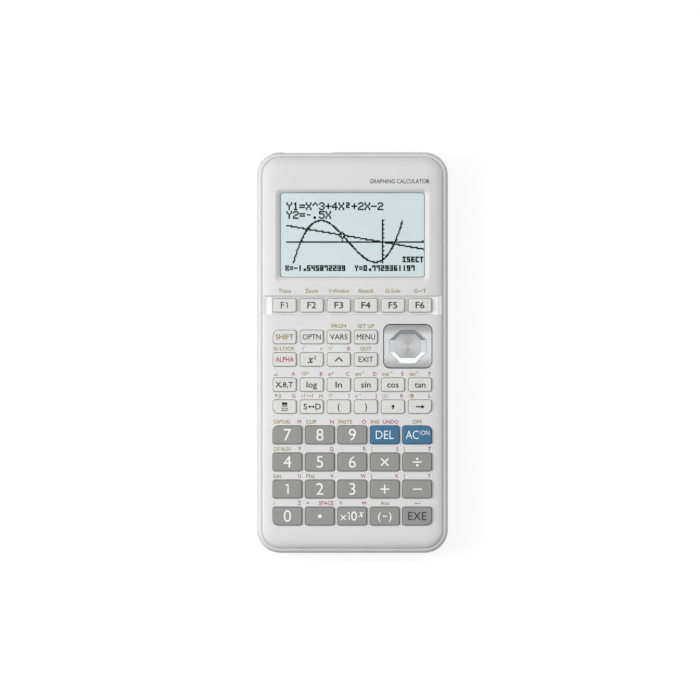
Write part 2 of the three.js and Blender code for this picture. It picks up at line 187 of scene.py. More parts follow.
def octagon(width, height, corner, *levels):
    """Rings of one eight-sided outline about the cursor pad's centre. corner is what its cut corners take
    from each side."""
    a, b = width / 2, height / 2
    corners = ((a - corner, -b), (a, corner - b), (a, b - corner), (a - corner, b),
               (corner - a, b), (-a, b - corner), (-a, corner - b), (corner - a, -b))
    return plate([(PAD.x + x, PAD.y + y) for x, y in corners], *levels)


def loft(bm, rings):
    """Closed skin through rings of equally many points, each ring a list of (x, y, z)."""
    loops = [[bm.verts.new(p) for p in ring] for ring in rings]
    for low, high in zip(loops, loops[1:]):
        for i in range(len(low)):
            j = (i + 1) % len(low)
            bm.faces.new((low[i], low[j], high[j], high[i]))
    bm.faces.new(tuple(reversed(loops[0])))
    bm.faces.new(tuple(loops[-1]))


def linked(name, data):
    """A new object in the scene."""
    obj = bpy.data.objects.new(name, data)
    bpy.context.scene.collection.objects.link(obj)
    return obj


def in_metres(name, bm):
    """An object from a mesh drawn in millimetres."""
    bmesh.ops.scale(bm, vec=(MM, MM, MM), verts=bm.verts)
    mesh = bpy.data.meshes.new(name)
    bm.to_mesh(mesh)
    bm.free()
    return linked(name, mesh)


def made(name, *lofts):
    """An object whose mesh is one closed skin for each list of rings."""
    bm = bmesh.new()
    for rings in lofts:
        loft(bm, rings)
    bmesh.ops.recalc_face_normals(bm, faces=bm.faces)
    return in_metres(name, bm)


def evaluated_mesh(obj):
    return bpy.data.meshes.new_from_object(obj.evaluated_get(bpy.context.evaluated_depsgraph_get()))


def combine(obj, tool, operation):
    """Changes the object's mesh by that of another object, which goes."""
    modifier = obj.modifiers.new("combine", "BOOLEAN")
    modifier.object = tool
    modifier.operation = operation
    modifier.solver = "MANIFOLD"
    mesh = evaluated_mesh(obj)
    obj.modifiers.clear()
    obj.data = mesh
    bpy.data.objects.remove(tool)


def cut(obj, *lofts):
    """Cuts separate closed skins out of the object."""
    combine(obj, made("tool", *lofts), "DIFFERENCE")


def add(obj, *lofts):
    for rings in lofts:
        combine(obj, made("tool", rings), "UNION")


def smooth(obj, angle=35):
    """Smooth shading with creases, and normals that follow the large faces."""
    obj.data.shade_smooth()
    obj.data.set_sharp_from_angle(angle=math.radians(angle))
    weighted = obj.modifiers.new("weighted", "WEIGHTED_NORMAL")
    weighted.keep_sharp = True
    weighted.weight = 80
    return obj


def place(obj, body, finish, nodes=()):
    obj.data.materials.clear()
    obj.data.materials.append(finish)
    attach(obj, body)
    if nodes:
        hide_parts(*nodes)
    return obj


def piece(name, finish, slot, *lofts, nodes=()):
    """A smooth piece of the case in one finish."""
    return place(smooth(made(name, *lofts)), CASE, finish, nodes)


# ---- Materials ----

def srgb(red, green, blue):
    """0-255 display values as linear colour."""
    def linear(value):
        value = value / 255
        return value / 12.92 if value <= 0.04045 else ((value + 0.055) / 1.055) ** 2.4
    return linear(red), linear(green), linear(blue)


def shader_node(tree, kind, inputs=None, links=None, **settings):
    """A new node with its settings, its sockets' values, and the sockets linked to it."""
    node = tree.nodes.new("ShaderNode" + kind)
    for name, value in settings.items():
        setattr(node, name, value)
    for name, value in (inputs or {}).items():
        node.inputs[name].default_value = value
    for name, socket in (links or {}).items():
        tree.links.new(socket, node.inputs[name])
    return node


def mapped(tree, value, start, end, low, high, interpolation="LINEAR"):
    """A value between start and end mapped to one between low and high, as a socket."""
    numbers = {"From Min": start, "From Max": end, "To Min": low, "To Max": high}
    node = shader_node(tree, "MapRange", numbers, {"Value": value}, interpolation_type=interpolation)
    return node.outputs["Result"]


def calculated(tree, operation, *values):
    """The result of a sum on sockets and numbers, as a socket."""
    node = shader_node(tree, "Math", operation=operation)
    for socket, value in zip(node.inputs, values):
        if isinstance(value, int):
            socket.default_value = value
        else:
            tree.links.new(value, socket)
    return node.outputs["Value"]


def noise_range(tree, where, scale, low, high, detail=3.0):
    """Noise mapped to a range of values, as a socket."""
    noise = shader_node(tree, "TexNoise", {"Scale": scale, "Detail": detail}, {"Vector": where})
    return mapped(tree, noise.outputs["Fac"], 0.3, 0.7, low, high)


def add_bumps(tree, height, strength, rise):
    """Bumps on the material's surface from a height socket. rise is in millimetres."""
    bump = shader_node(tree, "Bump", {"Strength": strength, "Distance": rise * MM}, {"Height": height})
    tree.links.new(bump.outputs["Normal"], tree.nodes["Principled BSDF"].inputs["Normal"])


def material(name, color, roughness=0.45, metallic=0.0, grain=0.0, grain_size=0.25, mottle=0.03,
             rough_spread=0.05, specular=0.5, coat=0.0):
    """Moulded plastic, rubber or metal: colour drifts a little, roughness varies, and a fine grain stands
    up from the surface. grain is its height and grain_size its width, in millimetres."""
    finish = bpy.data.materials.new(name)
    finish.use_nodes = True
    tree = finish.node_tree
    shader = tree.nodes["Principled BSDF"]
    shader.inputs["Metallic"].default_value = metallic
    shader.inputs["Specular IOR Level"].default_value = specular
    shader.inputs["Coat Weight"].default_value = coat
    where = shader_node(tree, "TexCoord").outputs["Object"]

    tones = {key: (*[min(c * share, 1) for c in color], 1)
             for key, share in (("A", 1 - mottle), ("B", 1 + mottle))}
    drift = {"Factor": noise_range(tree, where, 90, 0, 1)}
    tone = shader_node(tree, "Mix", tones, drift, data_type="RGBA")
    tree.links.new(tone.outputs["Result"], shader.inputs["Base Color"])

    rough = noise_range(tree, where, 400, roughness - rough_spread, roughness + rough_spread)
    tree.links.new(rough, shader.inputs["Roughness"])
    if grain:
        add_bumps(tree, noise_range(tree, where, 1 / (grain_size * MM), 0, 1, detail=1), 0.6, grain)
    return finish


def brushed_centre(name, centre, color):
    """Metal turned on a lathe: fine rings round a centre, and a few broad rays that are a painted sheen."""
    finish = material(name, color, roughness=0.28, metallic=1.0, mottle=0.02)
    tree = finish.node_tree
    shader = tree.nodes["Principled BSDF"]
    where = tree.nodes["Texture Coordinate"].outputs["Object"]
    middle = Vector((centre.x, centre.y, 0)) * MM
    shift = shader_node(tree, "VectorMath", {1: middle}, {0: where}, operation="SUBTRACT").outputs["Vector"]
    parts = shader_node(tree, "SeparateXYZ", links={"Vector": shift}).outputs
    angle = calculated(tree, "ARCTAN2", parts["Y"], parts["X"])
    # Broad rays that darken the colour round the centre: a painted sheen, standing in for the light that
    # turned metal catches.
    painted_sheen_rays = mapped(tree, calculated(tree, "COSINE", calculated(tree, "MULTIPLY", angle, 2)), -1, 1, 0.72, 1)
    tones = {"A": tree.nodes["Mix"].outputs["Result"], "B": painted_sheen_rays}
    shade = shader_node(tree, "Mix", {"Factor": 1}, tones, data_type="RGBA", blend_type="MULTIPLY")
    tree.links.new(shade.outputs["Result"], shader.inputs["Base Color"])
    rings = shader_node(tree, "TexWave", {"Scale": 1200}, {"Vector": shift}, wave_type="RINGS",
                        rings_direction="Z")
    add_bumps(tree, rings.outputs["Fac"], 0.4, 0.004)
    return finish


def clear_plastic(name):
    """Polished clear window: mostly seen through, with a faint tint and reflection."""
    clear = material(name, srgb(110, 120, 124), roughness=0.06, mottle=0.01, rough_spread=0.02)
    clear.node_tree.nodes["Principled BSDF"].inputs["Alpha"].default_value = 0.04
    return clear


WHITE = material("white_plastic", srgb(226, 226, 226), 0.45, grain=0.012, grain_size=0.3, mottle=0.012,
                 specular=0.3)
# Near-white plastic of the band's end bars: a painted highlight.
PAINTED_HIGHLIGHT_WHITE = material("painted_highlight_white", srgb(250, 250, 250), 0.2, mottle=0.01)
REAR_WHITE = material("rear_plastic", srgb(224, 223, 221), 0.5, grain=0.025, grain_size=0.4, mottle=0.015)
KEY_LIGHT = material("key_light", srgb(225, 225, 224), 0.38, grain=0.006, mottle=0.012)
KEY_GREY = material("key_grey", srgb(152, 152, 149), 0.36, grain=0.006, mottle=0.015)
KEY_BLUE = material("key_blue", srgb(58, 116, 152), 0.34, grain=0.006, mottle=0.02)
INK_DARK = material("ink_dark", srgb(24, 27, 32), 0.5, mottle=0.04)
INK_NAVY = material("ink_navy", srgb(26, 46, 66), 0.5, mottle=0.04)
INK_WHITE = material("ink_white", srgb(255, 255, 255), 0.45, mottle=0.01)
INK_GOLD = material("ink_gold", srgb(150, 130, 40), 0.5, mottle=0.04)
INK_PINK = material("ink_pink", srgb(168, 42, 96), 0.5, mottle=0.04)
CHROME = material("chrome", srgb(226, 227, 229), 0.14, metallic=1.0, mottle=0.02)
TRIM = material("chrome_trim", srgb(240, 240, 241), 0.26, metallic=1.0, mottle=0.03)
TURNED = brushed_centre("turned_centre", PAD, srgb(222, 222, 223))
DARK = material("dark_plastic", srgb(62, 63, 66), 0.5, grain=0.01)
JACK_BLACK = material("jack_black", srgb(34, 34, 36), 0.4, grain=0.008)
STEEL = material("steel", srgb(206, 207, 208), 0.3, metallic=1.0, mottle=0.04)
SCREW = material("screw_zinc", srgb(150, 150, 154), 0.35, metallic=1.0, mottle=0.05)
RUBBER = material("foot_rubber", srgb(96, 96, 97), 0.75, grain=0.03, grain_size=0.3)
SILICONE = material("silicone", srgb(196, 196, 192), 0.6, grain=0.015)
BOARD = material("solder_mask", srgb(28, 92, 52), 0.35, grain=0.01, grain_size=0.6, mottle=0.08)
LCD_GLASS = material("lcd_glass", srgb(228, 243, 245), 0.3, mottle=0.012, rough_spread=0.03)
LCD_FRAME = material("lcd_frame", srgb(178, 190, 192), 0.4, grain=0.006)
LCD_DOT = material("lcd_dot", srgb(4, 6, 10), 0.6, mottle=0.05, specular=0.1)
# Grey of the ring under the lens's edge: painted shade for the dark gap line round the glass.
LCD_GAP_SHADE = material("lcd_gap_shade", srgb(128, 136, 138), 0.5, mottle=0.03)
SLEEVE = material("cell_sleeve", srgb(60, 74, 92), 0.3, mottle=0.05, coat=0.3)
SLEEVE_BAND = material("cell_band", srgb(186, 150, 92), 0.3, metallic=0.6, mottle=0.05, coat=0.3)
NICKEL = material("nickel", srgb(200, 198, 190), 0.28, metallic=1.0, mottle=0.05)
CLEAR = clear_plastic("clear_window")


# ---- Front shell ----

def end_share(y, inset):
    """0 on the straight sides of an outline moved inwards, rising round its corners to 1 on its ends."""
    turn = (abs(y) - (END_Y - CORNER)) / max(CORNER - inset, 0.4)
    return min(max(turn, 0), 1) ** 2


def pillow(top_z, reach):
    """Raised face that falls away ever faster to the step above the rim, and most at the two ends. reach
    is the width of the falling part."""
    drop = top_z - FACE_EDGE_Z
    decay = drop / EDGE_SLOPE
    tail = math.exp(-reach / decay)
    foot_z = 14.6

    def ring(inset, fall):
        return [(x, y, top_z - drop * fall * (1 + END_DROP * end_share(y, inset)))
                for x, y in case_outline(inset)]

    rings = [flat(case_outline(FACE_INSET), foot_z), ring(FACE_INSET, 1.06)]
    steps = 12
    for i in range(steps + 1):
        along = reach * (i / steps) ** 1.5
        fall = (math.exp(-along / decay) - tail) / (1 - tail)
        rings.append(ring(FACE_INSET + 0.06 + along, fall))
    return rings


def rim():
    """The front shell's lower part, round at its outer edge, up to the groove beside the raised face."""
    def ring(inset, rise):
        sink = RIM_SINK + RIM_STRETCH * max(RIM_ROUND - rise, 0)
        return [(x, y, RIM_Z - RIM_ROUND + rise - sink * end_share(y, inset)) for x, y in case_outline(inset)]

    rings = [flat(case_outline(0.15), PARTING_Z), flat(case_outline(0), PARTING_Z + 0.15)]
    rings += [ring(inset, rise) for inset, rise in fillet(RIM_ROUND, 8)]
    rings += [ring(GROOVE, RIM_ROUND - 0.04), ring(GROOVE + 0.05, RIM_ROUND - 0.3)]
    return rings


def trough():
    """Cutter for the function-key band: crisp at the display, rolled at the keypad, with a low shelf at
    each side."""
    edge, above = WIDTH / 2 + 1, 22
    floor = [(-edge, SHELF_Z - 0.05), (-SHELF_X, SHELF_Z), (-SHELF_X + 0.1, TROUGH_Z),
             (SHELF_X - 0.1, TROUGH_Z), (SHELF_X, SHELF_Z), (edge, SHELF_Z - 0.05)]
    roof = [(edge, above), (-edge, above)]
    roll, steps = 0.6, 8
    rings = []
    for i in range(steps + 1):
        t = i / steps
        lift = (FACE_Z + 0.02 - TROUGH_Z) * (1 - math.sin(t * math.pi / 2)) ** 1.3
        rings.append(upright([(x, z + lift) for x, z in floor] + roof, TROUGH_LOW + roll * t))
    rings.append(upright(floor + roof, TROUGH_HIGH))
    return rings


def trough_end_highlights():
    """A near-white glossy bar at each side of the function keys, closing the band; its whiteness is a painted
    highlight for the light that the band's ends catch.
    """
    low, high, width = TROUGH_LOW + 0.1, TROUGH_HIGH - 0.45, 2.5
    levels = ((0, TROUGH_Z - 0.1), (0, SHELF_Z - 0.02), (0.12, SHELF_Z + 0.1))
    highlight_bars = [[flat(outline(side * (SHELF_X - 1.3), (low + high) / 2, width - 2 * inset, high - low - 2 * inset,
                          0.25, 3), z) for inset, z in levels] for side in (-1, 1)]
    piece("band_end_highlight_bars", PAINTED_HIGHLIGHT_WHITE, None, *highlight_bars)


def key_names():
    return [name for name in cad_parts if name.startswith("key_") and name != "key_mat"]


# Keys on a block's outer corner, with that corner's place in outline's radius.
BIG_CORNERS = {"key_shift": 0, "key_7": 0, "key_ac": 1, "key_fraction": 2, "key_0": 2, "key_store": 3,
               "key_execute": 3}
SMALL_RADIUS = 0.9
BIG_RADIUS = 2.4


def key_outline(name, grow=0.0):
    """Outline of a key's cap; the key on a block's outer corner is rounder there."""
    low, high = box_mm(name)
    middle = (low + high) / 2
    radius = [SMALL_RADIUS + grow] * 4
    if name in BIG_CORNERS:
        radius[BIG_CORNERS[name]] = BIG_RADIUS + grow
    width = high.x - low.x - 2 * FLANGE + 2 * grow
    height = high.y - low.y - 2 * FLANGE + 2 * grow
    return outline(middle.x, middle.y, width, height, tuple(radius), 5)


def key_hole(name):
    """Cutter for a key's hole, flared at the face round it. F6 has no flare: its cutter is flared above
    the band's floor."""
    in_band = name[4:] in CENTRED and name[4] == "f"
    floor_z = TROUGH_Z if in_band else FACE_Z
    gap = 0.1 if in_band else KEY_GAP
    flare = ((0, -0.22), (0.05, -0.1), (0.16, -0.015), (0.24, 0), (0.3, 0.02))
    rings = [flat(key_outline(name, gap), 13)]
    rings += [flat(key_outline(name, gap + grow), floor_z + rise) for grow, rise in flare]
    rings.append(flat(key_outline(name, gap + flare[-1][0]), ABOVE))
    return rings


def window_opening():
    """Cutter for the display's opening and the slopes round it; the slope above the window is the
    steepest."""
    rings = window_rings(WINDOW_WIDTH, WINDOW_HEIGHT, WINDOW_CORNER, 13)
    slope = ((0, -1.25), (0.1, -1.2), (0.7, -0.78), (1.3, -0.42), (1.8, -0.2), (2.3, -0.07), (2.9, -0.01),
             (3.3, 0.02))
    for grow, rise in slope:
        upper = 0.6 * grow
        shape = outline(WINDOW_X, WINDOW_Y + (upper - grow) / 2, WINDOW_WIDTH + 2 * grow,
                        WINDOW_HEIGHT + upper + grow, WINDOW_CORNER + grow * 0.5)
        rings.append(flat(shape, DISPLAY_FACE_Z + rise))
    rings.append(flat(shape, ABOVE))
    return rings


def end_bay():
    """Cutter for the shallow bay around the sockets in the top end."""
    middle, half_flat, half_mouth, depth, steps = -19.4, 9.5, 12.6, 0.46, 6
    left = []
    for i in range(steps + 1):
        t = i / steps
        ease = (1 - math.cos(math.pi * t)) / 2
        left.append((middle - half_mouth + (half_mouth - half_flat) * t, END_Y - depth * ease))
    right = [(2 * middle - x, y) for x, y in reversed(left)]
    mouth = [(middle + half_mouth, END_Y + 1), (middle - half_mouth, END_Y + 1)]
    return plate(left + right + mouth, 5, ABOVE)


USB_LOW, USB_HIGH = box_mm("usb_socket")
USB_X = (USB_LOW.x + USB_HIGH.x) / 2
USB_Z = (USB_LOW.z + USB_HIGH.z) / 2
USB_WIDTH = USB_HIGH.x - USB_LOW.x
USB_HEIGHT = USB_HIGH.z - USB_LOW.z
JACK_LOW, JACK_HIGH = box_mm("link_jack")
JACK_X = (JACK_LOW.x + JACK_HIGH.x) / 2
JACK_Z = (JACK_LOW.z + JACK_HIGH.z) / 2
OPENING_GAP = 0.4


def socket_openings():
    """Cutters through the top end's wall for the USB socket and the jack."""
    usb = outline(USB_X, USB_Z, USB_WIDTH + OPENING_GAP, USB_HEIGHT + OPENING_GAP, 0.5)
    jack = circle(JACK_X, JACK_Z, 2.5, 40)
    return [[upright(shape, END_Y - 4), upright(shape, END_Y + 1)] for shape in (usb, jack)]


SCREW_X = 36.7
SCREW_ROWS = (-79, 27.5, 80)
SCREW_SPOTS = [(side * SCREW_X, y) for side in (-1, 1) for y in SCREW_ROWS]
# Radii of the screw posts and of the holes in them.
FRONT_POST, THREAD_HOLE = 2.4, 0.9
REAR_POST, SHANK_HOLE, HEAD_HOLE = 3.1, 1.3, 2.3


def across_case(y0, y1, z0=0, z1=30):
    """A block wider than the case."""
    return block(-50, 50, y0, y1, z0, z1)


def front_case():
    """The front shell: both faces joined to the rim, hollowed, and opened for the band and all it holds."""
    shell = made("front_shell", rim())
    keypad_face = made("keypad_face", pillow(FACE_Z, 6.5))
    display_face = made("display_face", pillow(DISPLAY_FACE_Z, 8.5))
    split = (TROUGH_LOW + TROUGH_HIGH) / 2
    cut(display_face, across_case(-100, split))
    cut(keypad_face, across_case(split + 2, 100))
    for face in (keypad_face, display_face):
        combine(shell, face, "UNION")
    hollow_front(shell)
    cut(shell, trough())
    cut(shell, across_case(TROUGH_LOW - 0.1, TROUGH_LOW + 0.1, FACE_Z - 0.25, ABOVE))
    cut(shell, end_bay())
    cut(shell, *socket_openings())
    cut(shell, *[key_hole(name) for name in key_names()], window_opening(), cursor_pocket())
    cut(shell, window_rings(LENS_WIDTH + 0.4, LENS_HEIGHT + 0.4, 1.5, 14, GLASS_TOP_Z + 0.05))
    cut(shell, octagon(*PAD_OPENING, 14, 18))
    cut(shell, *[post(x, y, THREAD_HOLE, 7, 14.5, 16) for x, y in SCREW_SPOTS])
    grips = [block(side * WIDTH / 2 - 0.5, side * WIDTH / 2 + 0.5, -74, 74, 10.4, 11.8) for side in (-1, 1)]
    cut(shell, *grips)
    return place(smooth(shell, 22), CASE, WHITE, ["front_case"])


def hollow_front(shell):
    """The room inside, with the band's floor and the screw posts."""
    side_room, ledge_z = 5.6, 13.9
    cut(shell, plate(case_outline(WALL), PARTING_Z - 1, ledge_z))
    cut(shell, plate(case_outline(side_room), ledge_z - 0.4, CEILING_Z))
    add(shell, block(-38, 38, TROUGH_LOW - 0.6, TROUGH_HIGH + 0.4, 15.7, CEILING_Z + 0.1))
    add(shell, *[post(x, y, FRONT_POST, 8.3, 15) for x, y in SCREW_SPOTS])


# ---- Keys ----

LOW_KEY = 3.62  # the small white keys are less tall than this, and the number keys taller


def light_key(name):
    low, high = box_mm(name)
    return high.z - low.z < LOW_KEY


def key_cap(name):
    """A key: its cap with a round edge, the flange below the face and the stem on the key mat."""
    low, high = box_mm(name)
    middle = (low + high) / 2
    edge = 0.34
    rings = [flat(key_outline(name), high.z - 2.5), flat(key_outline(name), high.z - edge - 0.3)]
    rings += [flat(key_outline(name, -inset - 0.03), high.z - edge + rise) for inset, rise in fillet(edge, 4)]
    flange = plate(outline(middle.x, middle.y, high.x - low.x, high.y - low.y, 1.2, 3),
                   low.z + 0.7, high.z - 2.35)
    stem = block(middle.x - 1.5, middle.x + 1.5, middle.y - 1, middle.y + 1, low.z, high.z - 2.4)
    key = made(name + "_cap", rings, flange, stem)
    if name in ("key_delete", "key_ac"):
        finish, slot = KEY_BLUE, "key_blue"
    elif light_key(name):
        finish, slot = KEY_LIGHT, "key_light"
    else:
        finish, slot = KEY_GREY, "key_grey"
    return place(smooth(key, 50), name, finish, [name])


# ---- Cursor ----

BEZEL_LOW, BEZEL_HIGH = box_mm("cursor_bezel")
BEZEL_WIDTH = BEZEL_HIGH.x - BEZEL_LOW.x
BEZEL_HEIGHT = BEZEL_HIGH.y - BEZEL_LOW.y
POCKET_GAP = 0.36

# Eight-sided outlines of the cursor, each a width, a height and what its cut corners take from each side.
PAD_OPENING = (16.7, 15.9, 4.4)
BEZEL_HOLE = (16.3, 15.5, 4.85)
PAD_SKIRT = (17.6, 16.8, 4.9)
PAD_SIDE = (15.8, 15, 4.75)
PAD_CREST = (15.66, 14.86, 4.72)
DISH_TOP = (15.6, 14.8, 4.68)
DISH_EDGE = (15.5, 14.7, 4.65)
DISH_FLOOR = (11.6, 10.3, 2.5)
CENTRE_SIDE = (11.15, 9.85, 2.4)
CENTRE_TOP = (10.99, 9.69, 2.36)


def bezel_outline(grow):
    return outline(PAD.x, PAD.y, BEZEL_WIDTH + 2 * grow, BEZEL_HEIGHT + 2 * grow, 2.7 + grow, 8)


def cursor_pocket():
    """Cutter for the room that the bezel stands in, flared at the face."""
    rings = [flat(bezel_outline(POCKET_GAP), z) for z in (BEZEL_LOW.z - 0.05, FACE_Z - 0.1)]
    flare = ((0.08, -0.02), (0.14, 0), (0.2, 0.02))
    rings += [flat(bezel_outline(POCKET_GAP + grow), FACE_Z + rise) for grow, rise in flare]
    rings.append(flat(bezel_outline(POCKET_GAP + flare[-1][0]), ABOVE))
    return rings


def cursor_bezel():
    """Frame that is level in the middle and whose upper and lower bands slope down towards the keypad end,
    with an eight-sided hole for the pad, and a black ring in the gap round it that is painted shade."""
    half, level = BEZEL_HEIGHT / 2, BEZEL_HIGH.z - 0.18
    lower_band, upper_band = 4.5, 4

    def height(y):
        lower = max(0, PAD.y - half + lower_band - y) / lower_band
        upper = max(0, y - PAD.y - half + upper_band) / upper_band
        return level - 0.34 * lower ** 2.2 + 0.46 * upper ** 1.6

    edge = 0.12
    rings = [flat(bezel_outline(0), BEZEL_LOW.z)]
    rings.append([(x, y, height(y) - edge) for x, y in bezel_outline(0)])
    rings.append([(x, y, height(y) + 0.01) for x, y in bezel_outline(-edge)])
    rings.append(flat(bezel_outline(-edge - 0.05), 19))
    bezel = made("cursor_bezel_fine", rings)
    steps = 14
    across = [PAD.y + (half + 0.2) * step / steps for step in range(-steps, steps + 1)]
    section = [*((y, height(y)) for y in across), (across[-1], ABOVE), (across[0], ABOVE)]
    cut(bezel, [lengthwise(section, PAD.x + x) for x in (-12, 12)])
    cut(bezel, octagon(*BEZEL_HOLE, 15, ABOVE))
    place(smooth(bezel, 30), CASE, TRIM, ["cursor_bezel"])
    # Black ring filling the gap round the bezel: painted shade for the dark line there.
    gap_shade = made("cursor_gap_shade", plate(bezel_outline(0.34), BEZEL_LOW.z, FACE_Z - 0.12))
    cut(gap_shade, plate(bezel_outline(0.02), 15, ABOVE))
    place(smooth(gap_shade), CASE, JACK_BLACK)


def cursor_pad():
    """Dished pad: eight polished facets slope down from its edge to a brushed centre."""
    top = PAD_TOP_Z
    body = octagon(*PAD_SIDE, 15.1, top - 0.08) + octagon(*PAD_CREST, top)
    pad = made("cursor_pad_fine", octagon(*PAD_SKIRT, 14.7, 15.2), body)
    dish = octagon(*DISH_FLOOR, top - 1.4, PAD_FACE_Z) + octagon(*DISH_EDGE, top - 0.01)
    cut(pad, dish + octagon(*DISH_TOP, top + 0.1))
    cut(pad, post(PAD.x, PAD.y, 3.1, 13, 16.7))
    place(smooth(pad, 12), "cursor_pad", CHROME, ["cursor_pad"])
    centre = octagon(*CENTRE_SIDE, top - 1.39, PAD_FACE_Z - 0.08) + octagon(*CENTRE_TOP, PAD_FACE_Z)
    place(smooth(made("cursor_pad_centre", centre), 12), "cursor_pad", TURNED)


# ---- Lettering ----

CAP_HEIGHT = 0.655  # capital height of the built-in font, as a share of its size


def wire(name, points, radius, roundness, closed=False):
    """A round curve through points, straight from each to the next."""
    curve = bpy.data.curves.new(name, "CURVE")
    curve.dimensions = "3D"
    curve.bevel_depth = radius
    curve.bevel_resolution = roundness
    curve.use_fill_caps = True
    spline = curve.splines.new("POLY")
    spline.points.add(len(points) - 1)
    for point, (x, y, z) in zip(spline.points, points):
        point.co = (x, y, z, 1)
    spline.use_cyclic_u = closed
    return curve


class Print:
    """Collects lettering and drawn strokes on one height, and makes them one piece."""

    def __init__(self, z):
        self.bm = bmesh.new()
        self.z = z

    def take(self, curve, fitted):
        """Adds a curve's mesh, moved and stretched by the matrix that fitted works out from it."""
        obj = linked("lettering", curve)
        mesh = evaluated_mesh(obj)
        bpy.data.objects.remove(obj)
        mesh.transform(fitted(mesh))
        self.bm.from_mesh(mesh)
        bpy.data.meshes.remove(mesh)

    def text(self, words, x, y, height, align="centre", weight=0.0, width=None):
        """Words with capitals of that height, whose middle line is at y. width fits them to a length, and
        weight makes them thinner or bolder by that share of their size."""
        curve = bpy.data.curves.new("words", "FONT")
        curve.body = words
        curve.size = height / CAP_HEIGHT
        curve.extrude = INK
        curve.offset = min(weight, 0) * curve.size
        curve.bevel_depth = max(weight, 0) * curve.size
        curve.bevel_resolution = 0
        curve.resolution_u = 3

        def fitted(mesh):
            xs = [v.co.x for v in mesh.vertices]
            left, right = min(xs), max(xs)
            stretch = width / (right - left) if width else 1
            anchor = {"left": left, "centre": (left + right) / 2, "right": right}[align]
            flatten = INK / (curve.extrude + curve.bevel_depth)
            return (Matrix.Translation((x - anchor * stretch, y - height / 2, self.z + INK))
                    @ Matrix.Diagonal((stretch, 1, flatten, 1)))

        self.take(curve, fitted)

    def stroke(self, points, width, closed=False):
        """A line of even width with round ends, standing as high as the lettering."""
        curve = wire("stroke", flat(points, 0), width / 2, 2, closed)
        fit = Matrix.Translation((0, 0, self.z + INK / 2)) @ Matrix.Diagonal((1, 1, 3 * INK / width, 1))
        self.take(curve, lambda mesh: fit)

    def bar(self, x, y, reach, width):
        """A level stroke that reaches as far to each side of x."""
        self.stroke([(x - reach, y), (x + reach, y)], width)

    def dot(self, x, y, radius):
        loft(self.bm, post(x, y, radius, self.z, self.z + 2 * INK))

    def finish(self, name, body, finish):
        return place(in_metres(name, self.bm), body, finish)


def theta(ink, x, y, height, width):
    ink.stroke(arc(x, y, height * 0.27, height / 2, 0, 345, 20), width, closed=True)
    ink.bar(x, y, height * 0.26, width)


def pi_sign(ink, x, y, height, width):
    half = height / 2
    ink.bar(x, y + half * 0.8, half, width)
    for leg in (x - half * 0.45, x + half * 0.45):
        ink.stroke([(leg, y + half * 0.8), (leg, y - half)], width)


def root_sign(ink, x, y, height, width, index=None):
    half = height / 2
    ink.stroke([(x - half, y), (x - half * 0.7, y + half * 0.15), (x - half * 0.3, y - half),
                (x + half * 0.3, y + half), (x + half * 1.3, y + half)], width)
    if index:
        ink.text(index, x - half * 1.0, y + half * 0.75, height * 0.5)


def return_arrow(ink, x, y, height, width):
    half = height / 2
    right, tip, level = x + half * 1.6, x - half * 1.4, y - half * 0.3
    ink.stroke([(right, y + half), (right, level), (tip, level)], width)
    ink.stroke([(x - half * 0.6, y + half * 0.3), (tip, level), (x - half * 0.6, y - half * 0.9)], width)


def tailed_dot(ink, x, y, radius):
    """Comma, or one stroke of a closing quotation mark: a dot with a tail."""
    tail = [(0.58, -0.16), (0.42, -1.13), (-0.48, -2.02)]
    ink.dot(x, y, radius)
    ink.stroke([(x + radius * across, y + radius * up) for across, up in tail], 0.74 * radius)


def double_arrow(ink, x, y, length, width):
    half, barb = length / 2, length * 0.2
    ink.bar(x, y, half, width)
    for side in (-1, 1):
        tip = x + side * half
        ink.stroke([(tip - side * barb, y + barb), (tip, y), (tip - side * barb, y - barb)], width)


def frame_box(ink, x, y, width, height, line):
    a, b = width / 2, height / 2
    ink.stroke([(x - a, y - b), (x + a, y - b), (x + a, y + b), (x - a, y + b)], line, closed=True)


def one(ink, x, y, height, width):
    """The figure 1 with its flag, standing at x."""
    half = height / 2
    ink.stroke([(x - height * 0.24, y + half * 0.66), (x, y + half - width / 2), (x, y - half + width / 2)],
               width)


def operator(ink, word, x, y):
    half, slant, width = 1.95, 1.6, 0.62
    if word == "multiply":
        for up in (slant, -slant):
            ink.stroke([(x - slant, y - up), (x + slant, y + up)], width)
        return
    ink.bar(x, y, half, width)
    if word == "add":
        ink.stroke([(x, y - half), (x, y + half)], width)
    elif word == "divide":
        for side in (-1, 1):
            ink.dot(x, y + side * 1.4, 0.52)


# Words on key caps in groups of one style: capital height, weight, ink, and each word with its length.
KEY_WORDS = (
    (2.6, 0.014, INK_DARK, {"f2": ("F2", 3.9), "f3": ("F3", 3.9), "f5": ("F5", 3.9), "f6": ("F6", 3.9)}),
    (2.6, 0.018, INK_DARK, {"f4": ("F4", 4.0)}),
    (2.6, 0.016, INK_DARK, {"paren_open": ("(", 1.0), "paren_close": (")", 1.0)}),
    (2.0, 0.016, INK_GOLD, {"shift": ("SHIFT", 7.8)}),
    (2.0, 0.016, INK_PINK, {"alpha": ("ALPHA", 8.0)}),
    (2.15, 0.01, INK_DARK, {"optn": ("OPTN", 8.0), "vars": ("VARS", 7.7), "menu": ("MENU", 8.0),
                            "exit": ("EXIT", 6.4)}),
    (2.45, 0.014, INK_DARK, {"log": ("log", 4.6), "ln": ("ln", 2.9), "sin": ("sin", 4.2),
                             "cos": ("cos", 5.0), "tan": ("tan", 4.8)}),
    (3.4, 0.004, INK_NAVY, {"execute": ("EXE", 8.0)}),
    (3.5, -0.007, INK_WHITE, {"delete": ("DEL", 7.8)}),
)
ITALIC_X = "\U0001d465"


